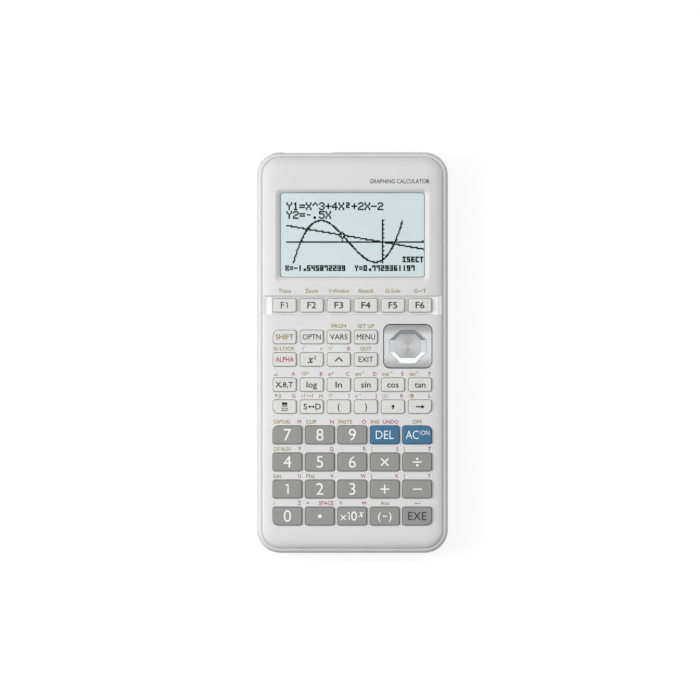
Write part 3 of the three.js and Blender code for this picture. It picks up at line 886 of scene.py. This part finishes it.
def light_key_signs(ink, word, x, y):
    """Signs on the light keys that the font lacks."""
    if word == "f1":
        ink.text("F", x - 0.95, y, 2.6, weight=0.008)
        one(ink, x + 1.15, y, 2.7, 0.52)
    elif word == "square":
        ink.text(ITALIC_X, x - 0.55, y, 3.0, weight=0.022)
        ink.text("2", x + 1.45, y + 0.75, 1.35, weight=0.022)
    elif word == "power":
        ink.stroke([(x - 1.55, y - 0.8), (x, y + 0.85), (x + 1.55, y - 0.8)], 0.66)
    elif word == "variable":
        for letter, offset, weight in (("X", -2.75, 0.024), (",", -1.35, 0.03), (",", 1.2, 0.03),
                                       ("T", 2.65, 0.024)):
            ink.text(letter, x + offset, y, 2.1, weight=weight)
        theta(ink, x - 0.05, y, 2.0, 0.42)
    elif word == "fraction":
        ink.bar(x, y + 1.35, 1.15, 1.15)
        ink.bar(x, y + 0.3, 1.2, 0.42)
        frame_box(ink, x, y - 1.15, 2.2, 1.05, 0.42)
    elif word == "convert":
        ink.text("S", x - 2.75, y, 2.4, weight=0.012)
        ink.text("D", x + 2.75, y, 2.4, weight=0.012)
        double_arrow(ink, x - 0.15, y, 2.4, 0.42)
    elif word == "comma":
        tailed_dot(ink, x, y + 0.2, 0.62)
    elif word == "store":
        ink.stroke([(x - 1.8, y), (x + 1.5, y)], 0.6)
        ink.stroke([(x + 0.75, y + 0.65), (x + 1.65, y), (x + 0.75, y - 0.65)], 0.62)


def dark_key_signs(ink, word, x, y):
    """Figures and signs on the grey and blue keys."""
    if word == "1":
        one(ink, x + 0.3, y, 4.9, 0.72)
    elif word.isdigit():
        ink.text(word, x, y, 4.9, weight=-0.006)
    elif word in ("add", "subtract", "multiply", "divide"):
        operator(ink, word, x, y)
    elif word == "point":
        ink.dot(x, y, 0.78)
    elif word == "exponent":
        for slant in (-1, 1):
            ink.stroke([(x - 5.0, y - 0.6 - 1.1 * slant), (x - 2.8, y - 0.6 + 1.1 * slant)], 0.5)
        one(ink, x - 1.35, y, 3.7, 0.56)
        ink.text("0", x + 0.75, y, 3.8, weight=-0.002)
        ink.text(ITALIC_X, x + 3.8, y + 1.1, 2.7, weight=0.018)
    elif word == "negative":
        ink.text("(", x - 2.3, y, 3.1, weight=0.006)
        ink.text(")", x + 2.3, y, 3.1, weight=0.006)
        ink.bar(x, y, 0.85, 0.58)
    elif word == "ac":
        ink.text("AC", x - 2.2, y, 3.5, width=5.6, weight=-0.006)
        ink.text("/ON", x + 3.1, y + 0.9, 1.9, width=4.3, weight=-0.006)


def key_legend(name):
    """The main legend printed on a key's cap."""
    low, high = box_mm(name)
    middle = (low + high) / 2
    word = name[4:]
    ink = Print(high.z)
    finish = INK_DARK if light_key(name) else INK_WHITE
    styles = [style for style in KEY_WORDS if word in style[-1]]
    if styles:
        height, weight, finish, words = styles[0]
        text, length = words[word]
        ink.text(text, middle.x, middle.y, height, width=length, weight=weight)
    elif light_key(name):
        light_key_signs(ink, word, middle.x, middle.y)
    else:
        dark_key_signs(ink, word, middle.x, middle.y)
    return ink.finish("legend_" + word, name, finish)


# Second functions above the keys, from the left, with their lengths. ^ raises what follows it.
SECOND = {
    "ln": ("e^" + ITALIC_X, 1.2), "sin": ("sin^-1", 2.6), "cos": ("cos^-1", 3.0), "tan": ("tan^-1", 2.6),
    "variable": ("∠", 1.9), "paren_close": ("x^-1", 1.2), "7": ("CAPTURE", 7.2), "8": ("CLIP", 4.4),
    "9": ("PASTE", 5.9), "delete": ("INS", 3.5), "4": ("CATALOG", 7.5), "multiply": ("{", 0.6),
    "divide": ("}", 0.6), "1": ("List", 3.4), "2": ("Mat", 3.8), "add": ("[", 0.6), "subtract": ("]", 0.6),
    "0": ("i", 0.3), "point": ("=", 1.3),
}
# Letters and words above the keys, from the right.
ALPHABETIC = {
    "variable": "A", "log": "B", "ln": "C", "sin": "D", "cos": "E", "tan": "F", "fraction": "G",
    "convert": "H", "paren_open": "I", "paren_close": "J", "comma": "K", "store": "L", "7": "M", "8": "N",
    "9": "O", "delete": "UNDO", "4": "P", "5": "Q", "6": "R", "multiply": "S", "divide": "T", "1": "U",
    "2": "V", "3": "W", "add": "X", "subtract": "Y", "0": "Z", "point": "SPACE", "square": "r",
}
# Words in the middle above the keys, with their lengths.
CENTRED = {
    "f1": ("Trace", 5.4), "f2": ("Zoom", 5.8), "f3": ("V-Window", 9.1), "f4": ("Sketch", 6.5),
    "f5": ("G-Solv", 6.7), "vars": ("PRGM", 6.4), "menu": ("SET UP", 7.2), "exit": ("QUIT", 4.9),
    "ac": ("OFF", 4.1), "negative": ("Ans", 3.8),
}
LABEL_HEIGHT = 1.5
LABEL_WEIGHT = 0.014
DISPLAY_LABEL_Y = 26.85
TITLE_RIGHT = 33.6
TITLE_Y = 74.6


def label_spot(word):
    """Left edge, right edge, middle and height above the key where its small labels stand."""
    low, high = box_mm("key_" + word)
    return low.x + FLANGE, high.x - FLANGE, (low.x + high.x) / 2, high.y - FLANGE + 1.75


def label(ink, words, x, y, height=LABEL_HEIGHT, align="centre", width=None):
    ink.text(words, x, y, height, align, weight=LABEL_WEIGHT, width=width)


def raised_text(ink, words, x, y, length):
    """Small text from the left, with an optional superscript after ^."""
    base, _, power = words.partition("^")
    label(ink, base, x, y, align="left", width=length)
    if power == "-1":
        ink.stroke([(x + length + 0.25, y + 0.6), (x + length + 0.75, y + 0.6)], 0.2)
        one(ink, x + length + 1.2, y + 0.6, 1.2, 0.2)
    elif power:
        ink.text(power, x + length + 0.2, y + 0.6, 1.2, "left", weight=1.5 * LABEL_WEIGHT)


def sign_labels(gold, pink):
    """Small signs above the keys that the font lacks."""
    line = 0.24
    left, _, _, y = label_spot("alpha")
    frame_box(gold, left + 1.0, y, 1.5, 1.6, 0.2)
    label(gold, "A", left + 1.0, y, 1.1)
    label(gold, "-LOCK", left + 2.1, y, align="left", width=7.3)
    left, _, _, y = label_spot("log")
    one(gold, left + 0.8, y, LABEL_HEIGHT, 0.22)
    raised_text(gold, "0^" + ITALIC_X, left + 1.3, y, 1.2)
    for word, offset, index in (("square", 1.2, None), ("power", 1.5, "x"), ("paren_open", 1.5, "3")):
        left, _, _, y = label_spot(word)
        root_sign(gold, left + offset, y, 1.5, line, index)
    _, right, _, y = label_spot("power")
    theta(pink, right - 0.8, y, 1.6, line)
    left, right, _, y = label_spot("exponent")
    pi_sign(gold, left + 1.2, y, 1.3, line)
    for offset in (1.7, 0.7):
        tailed_dot(pink, right - offset, y + 0.25, 0.38)
    _, _, middle, y = label_spot("execute")
    return_arrow(gold, middle, y, 1.4, 0.28)
    left, _, _, y = label_spot("fraction")
    gold.stroke([(left + 0.8, y + 0.25), (left + 1.6, y + 0.25)], 0.9)
    gold.stroke([(left + 2.2, y - 0.1), (left + 3.6, y - 0.1)], 0.2)
    for up in (0.5, -0.7):
        frame_box(gold, left + 2.9, y + up, 0.9, 0.55, 0.2)
    left, _, _, y = label_spot("convert")
    label(gold, "a", left + 0.5, y, 1.1, "left")
    double_arrow(gold, left + 3.75, y, 1.7, 0.24)
    for offset, letter in ((1.6, "b"), (5.0, "d")):
        label(gold, letter, left + offset, y + 0.55, 0.85, "left")
        label(gold, "c", left + offset, y - 0.6, 0.85, "left")
        gold.stroke([(left + offset, y), (left + offset + 0.8, y)], 0.18)
    left, _, _, y = label_spot("comma")
    for offset, drop in ((1.0, 0), (2.3, -0.25)):
        frame_box(gold, left + offset, y + drop, 1.1, 1.3, 0.22)
    left, _, _, y = label_spot("store")
    gold.stroke(arc(left + 1.3, y, 0.8, 0.8, 0, 345, 20), line, closed=True)
    gold.stroke([(left + 1.0, y + 0.1), (left + 2.2, y + 0.1)], 0.7)


def face_labels():
    gold, pink, display_gold = Print(FACE_Z), Print(FACE_Z), Print(DISPLAY_FACE_Z)
    for word, (words, length) in SECOND.items():
        left, _, _, y = label_spot(word)
        raised_text(gold, words, left + 0.3, y, length)
    for word, words in ALPHABETIC.items():
        _, right, _, y = label_spot(word)
        label(pink, words, right - 0.3, y, align="right")
    for word, (words, length) in CENTRED.items():
        _, _, middle, y = label_spot(word)
        if word[0] == "f":
            label(display_gold, words, middle, DISPLAY_LABEL_Y, width=length)
        else:
            label(gold, words, middle, y, width=length)

    _, _, middle, _ = label_spot("f6")
    for offset, letter in ((-1.9, "G"), (1.95, "T")):
        label(display_gold, letter, middle + offset, DISPLAY_LABEL_Y)
    double_arrow(display_gold, middle + 0.1, DISPLAY_LABEL_Y, 1.9, 0.26)
    sign_labels(gold, pink)
    gold.finish("labels_gold", CASE, INK_GOLD)
    display_gold.finish("labels_gold_display", CASE, INK_GOLD)
    pink.finish("labels_pink", CASE, INK_PINK)
    dark = Print(DISPLAY_FACE_Z)
    dark.text("GRAPHING CALCULATOR", TITLE_RIGHT, TITLE_Y, 1.7, "right", weight=0.01, width=26)
    dark.finish("labels_dark", CASE, INK_DARK)


# ---- Display ----

DOT_PITCH = 0.4735
DOT_COLUMNS = 128
DOTS_LEFT = WINDOW_X - 29.3
DOTS_TOP = WINDOW_Y + 14.3

LARGE_DOTS = {
    "Y": "10001 10001 01010 00100 00100 00100 00100", "X": "10001 10001 01010 00100 01010 10001 10001",
    "1": "00100 01100 00100 00100 00100 00100 01110", "2": "01110 10001 00001 00110 01000 10000 11111",
    "3": "01110 10001 00001 00110 00001 10001 01110", "4": "00010 00110 01010 10010 11111 00010 00010",
    "5": "11111 10000 11110 00001 00001 10001 01110", "=": "00000 00000 11111 00000 11111 00000 00000",
    "+": "00000 00100 00100 11111 00100 00100 00000", "-": "00000 00000 00000 11111 00000 00000 00000",
    "~": "00000 00000 00000 01110 00000 00000 00000", "^": "00100 01010 10001 00000 00000 00000 00000",
    ".": "00000 00000 00000 00000 00000 01100 01100", "²": "01110 00010 01110 01000 01110 00000 00000",
}
SMALL_DOTS = {
    "X": "101 101 010 101 101", "Y": "101 101 010 010 010", "=": "000 111 000 111 000",
    "-": "000 000 111 000 000", ".": "000 000 000 011 011", "0": "111 101 101 101 111",
    "1": "010 010 010 010 010", "2": "111 001 111 100 111", "3": "111 001 111 001 111",
    "4": "101 101 111 001 001", "5": "111 100 111 001 111", "6": "111 100 111 101 111",
    "7": "111 101 001 001 001", "8": "111 101 111 101 111", "9": "111 101 111 001 111",
    "I": "111 010 010 010 111", "S": "111 100 111 001 111", "E": "111 100 111 100 111",
    "C": "111 100 100 100 111", "T": "111 010 010 010 010",
}

# The drawing's frame in dots: where the axes cross, how many dots go to 1, and its first and last row.
AXIS_COLUMN, AXIS_ROW = 89, 36
DOTS_ACROSS, DOTS_UP = 23.8, 8.2
DRAWING_TOP, DRAWING_LOW = 16, 55


def dot_text(dots, words, font, column, row, advance):
    for letter in words:
        if letter != " ":
            for down, line in enumerate(font[letter].split()):
                dots.update((column + right, row + down) for right, on in enumerate(line) if on == "1")
        column += advance


def dot_curve(dots, function):
    """Plots a function, with dots filling the steps between columns."""
    last = None
    for step in range(DOT_COLUMNS * 4):
        column = step / 4
        row = AXIS_ROW - DOTS_UP * function((column - AXIS_COLUMN) / DOTS_ACROSS)
        if DRAWING_TOP <= row <= DRAWING_LOW and 1 <= column:
            here = (round(column), round(row))
            if last and abs(here[1] - last[1]) > 1:
                middle = (here[1] + last[1]) // 2
                for x, y in (last, here):
                    dots.update((x, filled) for filled in range(min(y, middle), max(y, middle)))
            dots.add(here)
            last = here


def cross_dots(dots, column, row):
    """The marker of a crossing: a cleared square in a diamond, with its four corners."""
    near = (-1, 0, 1)
    dots.difference_update((column + i, row + j) for i in near for j in near)
    for reach in range(4):
        for side in (-1, 1):
            dots.add((column + side * reach, row + 3 - reach))
            dots.add((column + side * reach, row + reach - 3))
    dots.update((column + i, row + j) for i in (-1, 1) for j in (-1, 1))


def display_dots():
    dots = set()
    dot_text(dots, "Y1=X^3+4X²+2X-2", LARGE_DOTS, 1, 0, 6)
    dot_text(dots, "Y2=~.5X", LARGE_DOTS, 1, 8, 6)
    dots.update((column, AXIS_ROW) for column in range(1, DOT_COLUMNS))
    dots.update((AXIS_COLUMN, row) for row in range(DRAWING_TOP, DRAWING_LOW + 1))
    dots.update((AXIS_COLUMN + mark, AXIS_ROW - 1) for mark in (-74, -37, 37))
    dots.update((AXIS_COLUMN + 1, row) for row in range(DRAWING_TOP, DRAWING_LOW + 1, 4))
    dot_curve(dots, lambda x: x ** 3 + 4 * x ** 2 + 2 * x - 2)
    dot_curve(dots, lambda x: -0.5 * x)
    cross_dots(dots, 52, 30)
    dot_text(dots, "ISECT", SMALL_DOTS, 108, 50, 4)
    dot_text(dots, "X=-1.545872239", SMALL_DOTS, 0, 58, 4)
    dot_text(dots, "Y=0.7729361197", SMALL_DOTS, 64, 58, 4)
    return dots


def display():
    low, high = box_mm("lcd_module")
    glass_z = GLASS_TOP_Z - 0.25
    glass_size = (64.4, 38.8, 0.5)
    piece("lcd_frame", LCD_FRAME, "lcd", window_rings(high.x - low.x, high.y - low.y, 0.8, low.z, high.z),
          nodes=["lcd_module"])
    glass = window_rings(*glass_size, high.z - 0.1, glass_z - 0.08) + window_rings(64.1, 38.5, 0.4, glass_z)
    piece("lcd_glass", LCD_GLASS, "lcd", glass)
    # A grey ring under the lens's edge: painted shade for the dark gap line round the glass.
    gap_shade_ring = made("window_gap_shade", window_rings(*glass_size, glass_z + 0.05, glass_z + 0.1))
    cut(gap_shade_ring, window_rings(WINDOW_WIDTH - 0.6, WINDOW_HEIGHT - 0.6, 1.0, 10, ABOVE))
    place(gap_shade_ring, CASE, LCD_GAP_SHADE)
    size = DOT_PITCH * 1.42
    squares = []
    for column, row in sorted(display_dots()):
        x, y = DOTS_LEFT + column * DOT_PITCH, DOTS_TOP - row * DOT_PITCH
        squares.append(block(x, x + size, y - size, y, glass_z + 0.005, glass_z + 0.025))
    place(made("lcd_dots", *squares), CASE, LCD_DOT)
    edge = 0.1
    lens = window_rings(LENS_WIDTH, LENS_HEIGHT, 1.3, GLASS_TOP_Z - 0.1, GLASS_TOP_Z - 0.05)
    lens += window_rings(LENS_WIDTH - edge, LENS_HEIGHT - edge, 1.3, GLASS_TOP_Z)
    piece("window_lens", CLEAR, "window", lens, nodes=["display_window"])


# ---- Rear shell and battery compartment ----

BAY_Y = 47.5
BAY_WIDTH = 52.0
BAY_HEIGHT = 43.4
FLOOR_Z = REAR_LOW.z + 0.6
RATING_Y = -22
RATING_Z = FLOOR_Z + 0.15
RESET = centre_mm("reset_button")
HINGE_Y = COVER_HIGH.y - COVER_HOOK


def bay_block(margin, z0, z1):
    """The battery bay's room, grown to its walls' outside by a margin."""
    half_x, half_y = BAY_WIDTH / 2 + margin, BAY_HEIGHT / 2 + margin
    return block(-half_x, half_x, BAY_Y - half_y, BAY_Y + half_y, z0, z1)


def rear_case():
    """The rear shell with the battery bay's walls, screw posts and reset tube."""
    rings = [flat(case_outline(3 * inset), FLOOR_Z + 3.4 * (1 - rise))
             for inset, rise in reversed(fillet(1.0, 8))]
    top = PARTING_Z - 0.05
    rings += [flat(case_outline(0), top - 0.15), flat(case_outline(0.15), top)]
    shell = made("rear_shell", rings)
    cut(shell, plate(case_outline(WALL), 4.2, top + 1))
    cut(shell, plate(case_outline(4.6), FLOOR_Z + WALL, 4.4))
    add(shell, bay_block(1.2, 1, 13.7))
    add(shell, block(-31, 31, 18.5, 77, 1, 3.9))
    add(shell, *[post(x, y, REAR_POST, 1.5, 7.9) for x, y in SCREW_SPOTS])
    add(shell, post(RESET.x, RESET.y, 2.3, 1.8, 11.4))
    open_rear(shell)
    return place(smooth(shell), CASE, REAR_WHITE, ["rear_case"])


def open_rear(shell):
    """Everything cut into the rear shell from outside."""
    gap = 0.25
    low, high = COVER_LOW.y - gap, HINGE_Y + gap
    cut(shell, plate(outline(0, (low + high) / 2, 2 * (COVER_HIGH.x + gap), high - low, 1.7), 0, 2.05))
    cut(shell, bay_block(0, 1, 12.9))
    cut(shell, *[block(x - 3.3, x + 3.3, HINGE_Y - 2.1, HINGE_Y + 2.6, 1.15, 3.2) for x in HOOK_XS])
    scoop = ((1, 13, 5, 1.2, 1.6), (1.6, 16, 9, 2.5, 0.6), (1.7, 16.6, 9.6, 2.7, 0))
    cut(shell, [flat(outline(0, COVER_LOW.y - below, width, height, radius), z)
                for below, width, height, radius, z in scoop])
    cut(shell, end_bay(), plate(outline(0, RATING_Y, 50, 19, 1.5), 0, RATING_Z))
    cut(shell, *[turned(x, y, (2.55, 0), (HEAD_HOLE, 0.85), (HEAD_HOLE, 4.4)) for x, y in SCREW_SPOTS])
    cut(shell, *[post(x, y, SHANK_HOLE, 4, 9) for x, y in SCREW_SPOTS])
    cut(shell, turned(RESET.x, RESET.y, (1.6, 0), (1.3, 0.9), (1.3, 12)))


def battery_cover():
    """The cover with its two hooks, two spring slots, three finger ridges and an arrow."""
    width = COVER_HIGH.x - COVER_LOW.x
    height = HINGE_Y - COVER_LOW.y
    middle = (COVER_LOW.y + HINGE_Y) / 2
    top = COVER_HIGH.z
    edge = 0.3
    rings = []
    for rise in (0, 0.3 * edge, 0.7 * edge, edge):
        inset = edge - rise
        shape = outline(0, middle, width - 2 * inset, height - 2 * inset, 1.5)
        rings.append(flat(shape, FLOOR_Z + rise))
    rings.append(flat(outline(0, middle, width, height, 1.5), top))
    cover = made("cover_plate", rings)
    add(cover, *[block(x - 3, x + 3, HINGE_Y - 1, HINGE_Y + COVER_HOOK, 1.25, top) for x in HOOK_XS])
    cut(cover, *[block(x - 0.5, x + 0.5, COVER_LOW.y - 1, COVER_LOW.y + 7, 0, 3) for x in (-7, 7)])
    for i in range(3):
        y = COVER_LOW.y + 1.75 + 1.6 * i
        ridge = [(y - 0.4, 0.9), (y - 0.18, 0.38), (y + 0.18, 0.38), (y + 0.4, 0.9)]
        add(cover, [lengthwise(ridge, x) for x in (-5, 5)])
    arrow_y = COVER_LOW.y + 10.2
    cut(cover, plate([(-2.2, arrow_y), (0, COVER_LOW.y + 8.0), (2.2, arrow_y)], 0, FLOOR_Z + 0.25))
    return place(smooth(cover), "battery_cover", REAR_WHITE, ["battery_cover"])


CELL_PITCH = 10.6
CELL_Z = 7.45
CELL_COUNT = 4


def cell_y(index):
    return BAY_Y + (index - 1.5) * CELL_PITCH


def cell(index, side):
    """One battery cell along X, its button at the given side, in printed sleeve, band and metal ends."""
    radius, half, seam = 5.2, 21.75, 8

    def rings(*profile):
        return [lengthwise(circle(cell_y(index), CELL_Z, r, 40), x * side) for x, r in profile]

    piece(f"cell_sleeve_{index}", SLEEVE, "cell",
          rings((-half, radius - 0.35), (-half + 0.3, radius), (seam, radius), (seam + 0.02, radius - 0.02)))
    band = ((seam + 0.04, radius - 0.02), (seam + 0.06, radius), (half - 0.3, radius), (half, radius - 0.35))
    piece(f"cell_band_{index}", SLEEVE_BAND, "cell", rings(*band))
    button = rings((half + 0.02, 4.4), (half + 0.1, 4.4), (half + 0.12, 1.9), (half + 1.2, 1.85),
                   (half + 1.3, 1.6))
    return piece(f"cell_ends_{index}", NICKEL, "cell", button, rings((-half - 0.02, 3.6), (-half - 0.1, 3.6)))


def coil_spring(index, side):
    """Conical spring between the cell's flat end and the compartment wall."""
    steps, turns = 96, 4
    wall_x, length, wide, taper = 25.0, 3.0, 3.6, 1.6
    points = []
    for i in range(steps + 1):
        t = i / steps
        angle, radius = 2 * math.pi * turns * t, wide - taper * t
        points.append((side * (wall_x - length * t) * MM, (cell_y(index) + radius * math.cos(angle)) * MM,
                       (CELL_Z + radius * math.sin(angle)) * MM))
    spring = linked(f"spring_{index}", wire(f"spring_{index}", points, 0.22 * MM, 3))
    return place(spring, CASE, NICKEL)


def batteries():
    pieces = [cell(i, 1 if i % 2 else -1) for i in range(CELL_COUNT)]
    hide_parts("battery_cells")
    for i in range(CELL_COUNT):
        coil_spring(i, -1 if i % 2 else 1)
    # Each contact plate's side, with the first and last cell that it touches.
    spans = ((-1, 0, 1), (-1, 2, 3), (1, 1, 2), (1, 0, 0), (1, 3, 3))
    for number, (side, first, last) in enumerate(spans):
        low_y, high_y = cell_y(first), cell_y(last)
        shape = outline((low_y + high_y) / 2, CELL_Z, high_y - low_y + 7, 7, 0.8)
        piece(f"contact_{number}", NICKEL, "cell", [lengthwise(shape, side * x) for x in (25.2, 25.6)])


# ---- Small parts ----

def mini_b(grow):
    """Outline of the USB socket's shell, wide above and narrow below, grown all round."""
    a, b = USB_WIDTH / 2 + grow, USB_HEIGHT / 2 + grow
    right = [(a - 0.9, -b), (a - 0.4, -b * 0.3), (a, b * 0.1), (a, b - 0.3), (a - 0.3, b)]
    left = [(-x, z) for x, z in reversed(right)]
    return [(USB_X + x, USB_Z + z) for x, z in left[-1:] + right + left[:-1]]


def usb_socket():
    """Metal shell, tongue and five contacts of the USB socket."""
    face = USB_HIGH.y
    shell = made("usb_shell", [upright(mini_b(0), y) for y in (USB_LOW.y, face)])
    cut(shell, [upright(mini_b(-0.35), y) for y in (face - 7, face + 1)])
    place(smooth(shell), CASE, STEEL, ["usb_socket"])
    tongue = block(USB_X - 2.6, USB_X + 2.6, face - 7, face - 1, USB_Z + 0.1, USB_Z + 0.8)
    piece("usb_tongue", JACK_BLACK, "jack_plastic", tongue)
    contacts = [block(USB_X - 1.7 + 0.8 * i, USB_X - 1.5 + 0.8 * i, face - 6.5, face - 1.4, USB_Z + 0.04,
                      USB_Z + 0.12) for i in range(5)]
    piece("usb_contacts", SLEEVE_BAND, "connector_steel", *contacts)


def jack_rings(*profile):
    """Rings round the jack's axis, each a radius and a depth behind the jack's face."""
    return [upright(circle(JACK_X, JACK_Z, radius), USB_HIGH.y - depth) for radius, depth in profile]


def link_jack():
    """Body and metal sleeve of the link jack."""
    shape = outline(JACK_X, JACK_Z, 6.4, 4.4, 0.4)
    body = made("jack_body", [upright(shape, y) for y in (JACK_LOW.y, USB_HIGH.y - 2.2)])
    add(body, jack_rings((2.2, 3), (2.2, 0.2), (2.0, 0)))
    cut(body, jack_rings((1.3, 10), (1.3, 0.3), (1.7, -0.2)))
    place(smooth(body), CASE, JACK_BLACK, ["link_jack"])
    sleeve = made("jack_sleeve", jack_rings((1.28, 4), (1.28, 0.6)))
    cut(sleeve, jack_rings((1.1, 5), (1.1, 0)))
    place(smooth(sleeve), CASE, NICKEL)


def screws():
    slot, reach = 0.22, 1.1
    for number, (x, y) in enumerate(SCREW_SPOTS):
        head = made(f"screw_{number}", turned(x, y, (1.0, 4.3), (1.0, 4.05), (1.95, 4.0), (2.05, 3.6),
                                              (1.7, 3.0), (1.0, 2.7)))
        cut(head, block(x - reach, x + reach, y - slot, y + slot, 2, 3.3))
        cut(head, block(x - slot, x + slot, y - reach, y + reach, 2, 3.3))
        place(smooth(head), CASE, SCREW)


FOOT_SPOTS = ((-30, -79.5), (30, -79.5), (-27, 80.5), (27, 80.5))


def feet():
    radius = 3.5
    profile = ((radius - 0.25, 0), (radius - 0.07, 0.06), (radius, 0.2), (radius, FLOOR_Z + 0.05))
    for number, (x, y) in enumerate(FOOT_SPOTS):
        piece(f"foot_{number}", RUBBER, "silicone", turned(x, y, *profile, steps=40))


def underside_print(name, z, lines):
    """Grey printing read from below, on a face at height z. Each line has its words, x, y and height."""
    ink = Print(-z)
    for words, x, y, height in lines:
        ink.text(words, -x, y, height, weight=0.004)
    ink.finish(name, CASE, RUBBER).data.transform(Matrix.Rotation(math.pi, 4, "Y"))


def underside_prints():
    underside_print("reset_word", FLOOR_Z, [("RESET", RESET.x + 2.1, RESET.y - 3.4, 1.4)])
    underside_print("rating_words", RATING_Z, [
        ("GRAPHING CALCULATOR", 0, RATING_Y + 5.6, 2.2),
        ("AAA x 4     DC 6 V     0.6 W", 0, RATING_Y + 0.6, 1.9),
        ("Use four batteries of the same kind.", 0, RATING_Y - 4.8, 1.5),
    ])


def carried_nodes():
    """CAD nodes whose shape stays, with finished materials."""
    finishes = {"main_board": BOARD, "key_mat": SILICONE, "cursor_pivot": DARK, "reset_button": DARK}
    for node, finish in finishes.items():
        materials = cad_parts[node].data.materials
        materials.clear()
        materials.append(finish)


# ---- Studio ----

def area_light(name, place_at, width, height, level):
    """A soft box aimed at the object. level is the light it throws on a flat white face, 1 being full
    white."""
    at = Vector(place_at)
    light = bpy.data.lights.new(name, "AREA")
    light.shape = "RECTANGLE"
    light.size = width
    light.size_y = height
    light.energy = level * math.pi ** 2 * at.length ** 3 / at.z
    obj = linked(name, light)
    obj.location = at
    obj.rotation_euler = (-at).to_track_quat("-Z", "Y").to_euler()


CAMERA_SHIFT = (-0.00102, 0.00112)  # the camera's X and Y, in metres
CAMERA_HEIGHT = 1.271  # from the display's face to the camera, in metres
# Strengths of the room's light.
SKY_DIM = 0.34  # from beyond the keypad end
SKY_BRIGHT = 1.28  # from beyond the display end
SKY_HORIZON = 0.1  # share of it that is left at the horizon
SKY_FAR_END = 0.3  # share of it that is left far down at the display end
FLOOR_GLOW = 0.3  # from below, in place of the light that the floor would throw back


def sky():
    """Room light from above, bright beyond the display end and dim beyond the keypad end."""
    world = bpy.data.worlds.new("studio")
    world.use_nodes = True
    tree = world.node_tree
    where = shader_node(tree, "TexCoord").outputs["Generated"]
    parts = shader_node(tree, "SeparateXYZ", links={"Vector": where}).outputs

    def step(axis, *numbers):
        return mapped(tree, parts[axis], *numbers, interpolation="SMOOTHSTEP")

    far_end, horizon = step("Y", 0.55, 0.9, 1, SKY_FAR_END), step("Z", 0.1, 0.75, SKY_HORIZON, 1)
    fade = calculated(tree, "MULTIPLY", far_end, horizon)
    light = calculated(tree, "MULTIPLY", step("Y", -0.38, 0.38, SKY_DIM, SKY_BRIGHT), fade)
    glow = calculated(tree, "ADD", light, step("Z", -0.3, 0.0, FLOOR_GLOW, 0))
    background = tree.nodes["Background"]
    background.inputs["Color"].default_value = (1, 1, 1, 1)
    tree.links.new(glow, background.inputs["Strength"])
    bpy.context.scene.world = world


def studio():
    scene = bpy.context.scene
    floor = made("floor", plate(outline(0, 0, 6000, 6000, 10), -20, -0.02))
    pale = material("floor", srgb(150, 150, 150), 0.9, mottle=0.002, specular=0.0)
    shader = pale.node_tree.nodes["Principled BSDF"]
    shader.inputs["Emission Color"].default_value = (1, 1, 1, 1)
    shader.inputs["Emission Strength"].default_value = 0.78
    floor.data.materials.append(pale)
    floor.visible_diffuse = False
    sky()
    area_light("key", (-0.6, 0.0, 0.46), 0.35, 0.35, 0.33)
    area_light("fill", (-0.6, 0.06, 1.1), 0.3, 0.25, 0.001)

    camera = bpy.data.cameras.new("camera")
    camera.lens = 150
    camera.sensor_width = 36
    camera.clip_start = 0.01
    camera.clip_end = 20
    obj = linked("camera", camera)
    obj.location = (*CAMERA_SHIFT, CAMERA_HEIGHT + DISPLAY_FACE_Z * MM)
    scene.camera = obj
    scene.view_settings.view_transform = "Standard"


def build():
    front_case()
    for name in key_names():
        key_cap(name)
        key_legend(name)
    cursor_bezel()
    cursor_pad()
    face_labels()
    display()
    trough_end_highlights()
    rear_case()
    battery_cover()
    batteries()
    usb_socket()
    link_jack()
    screws()
    feet()
    underside_prints()
    carried_nodes()
    studio()


build()
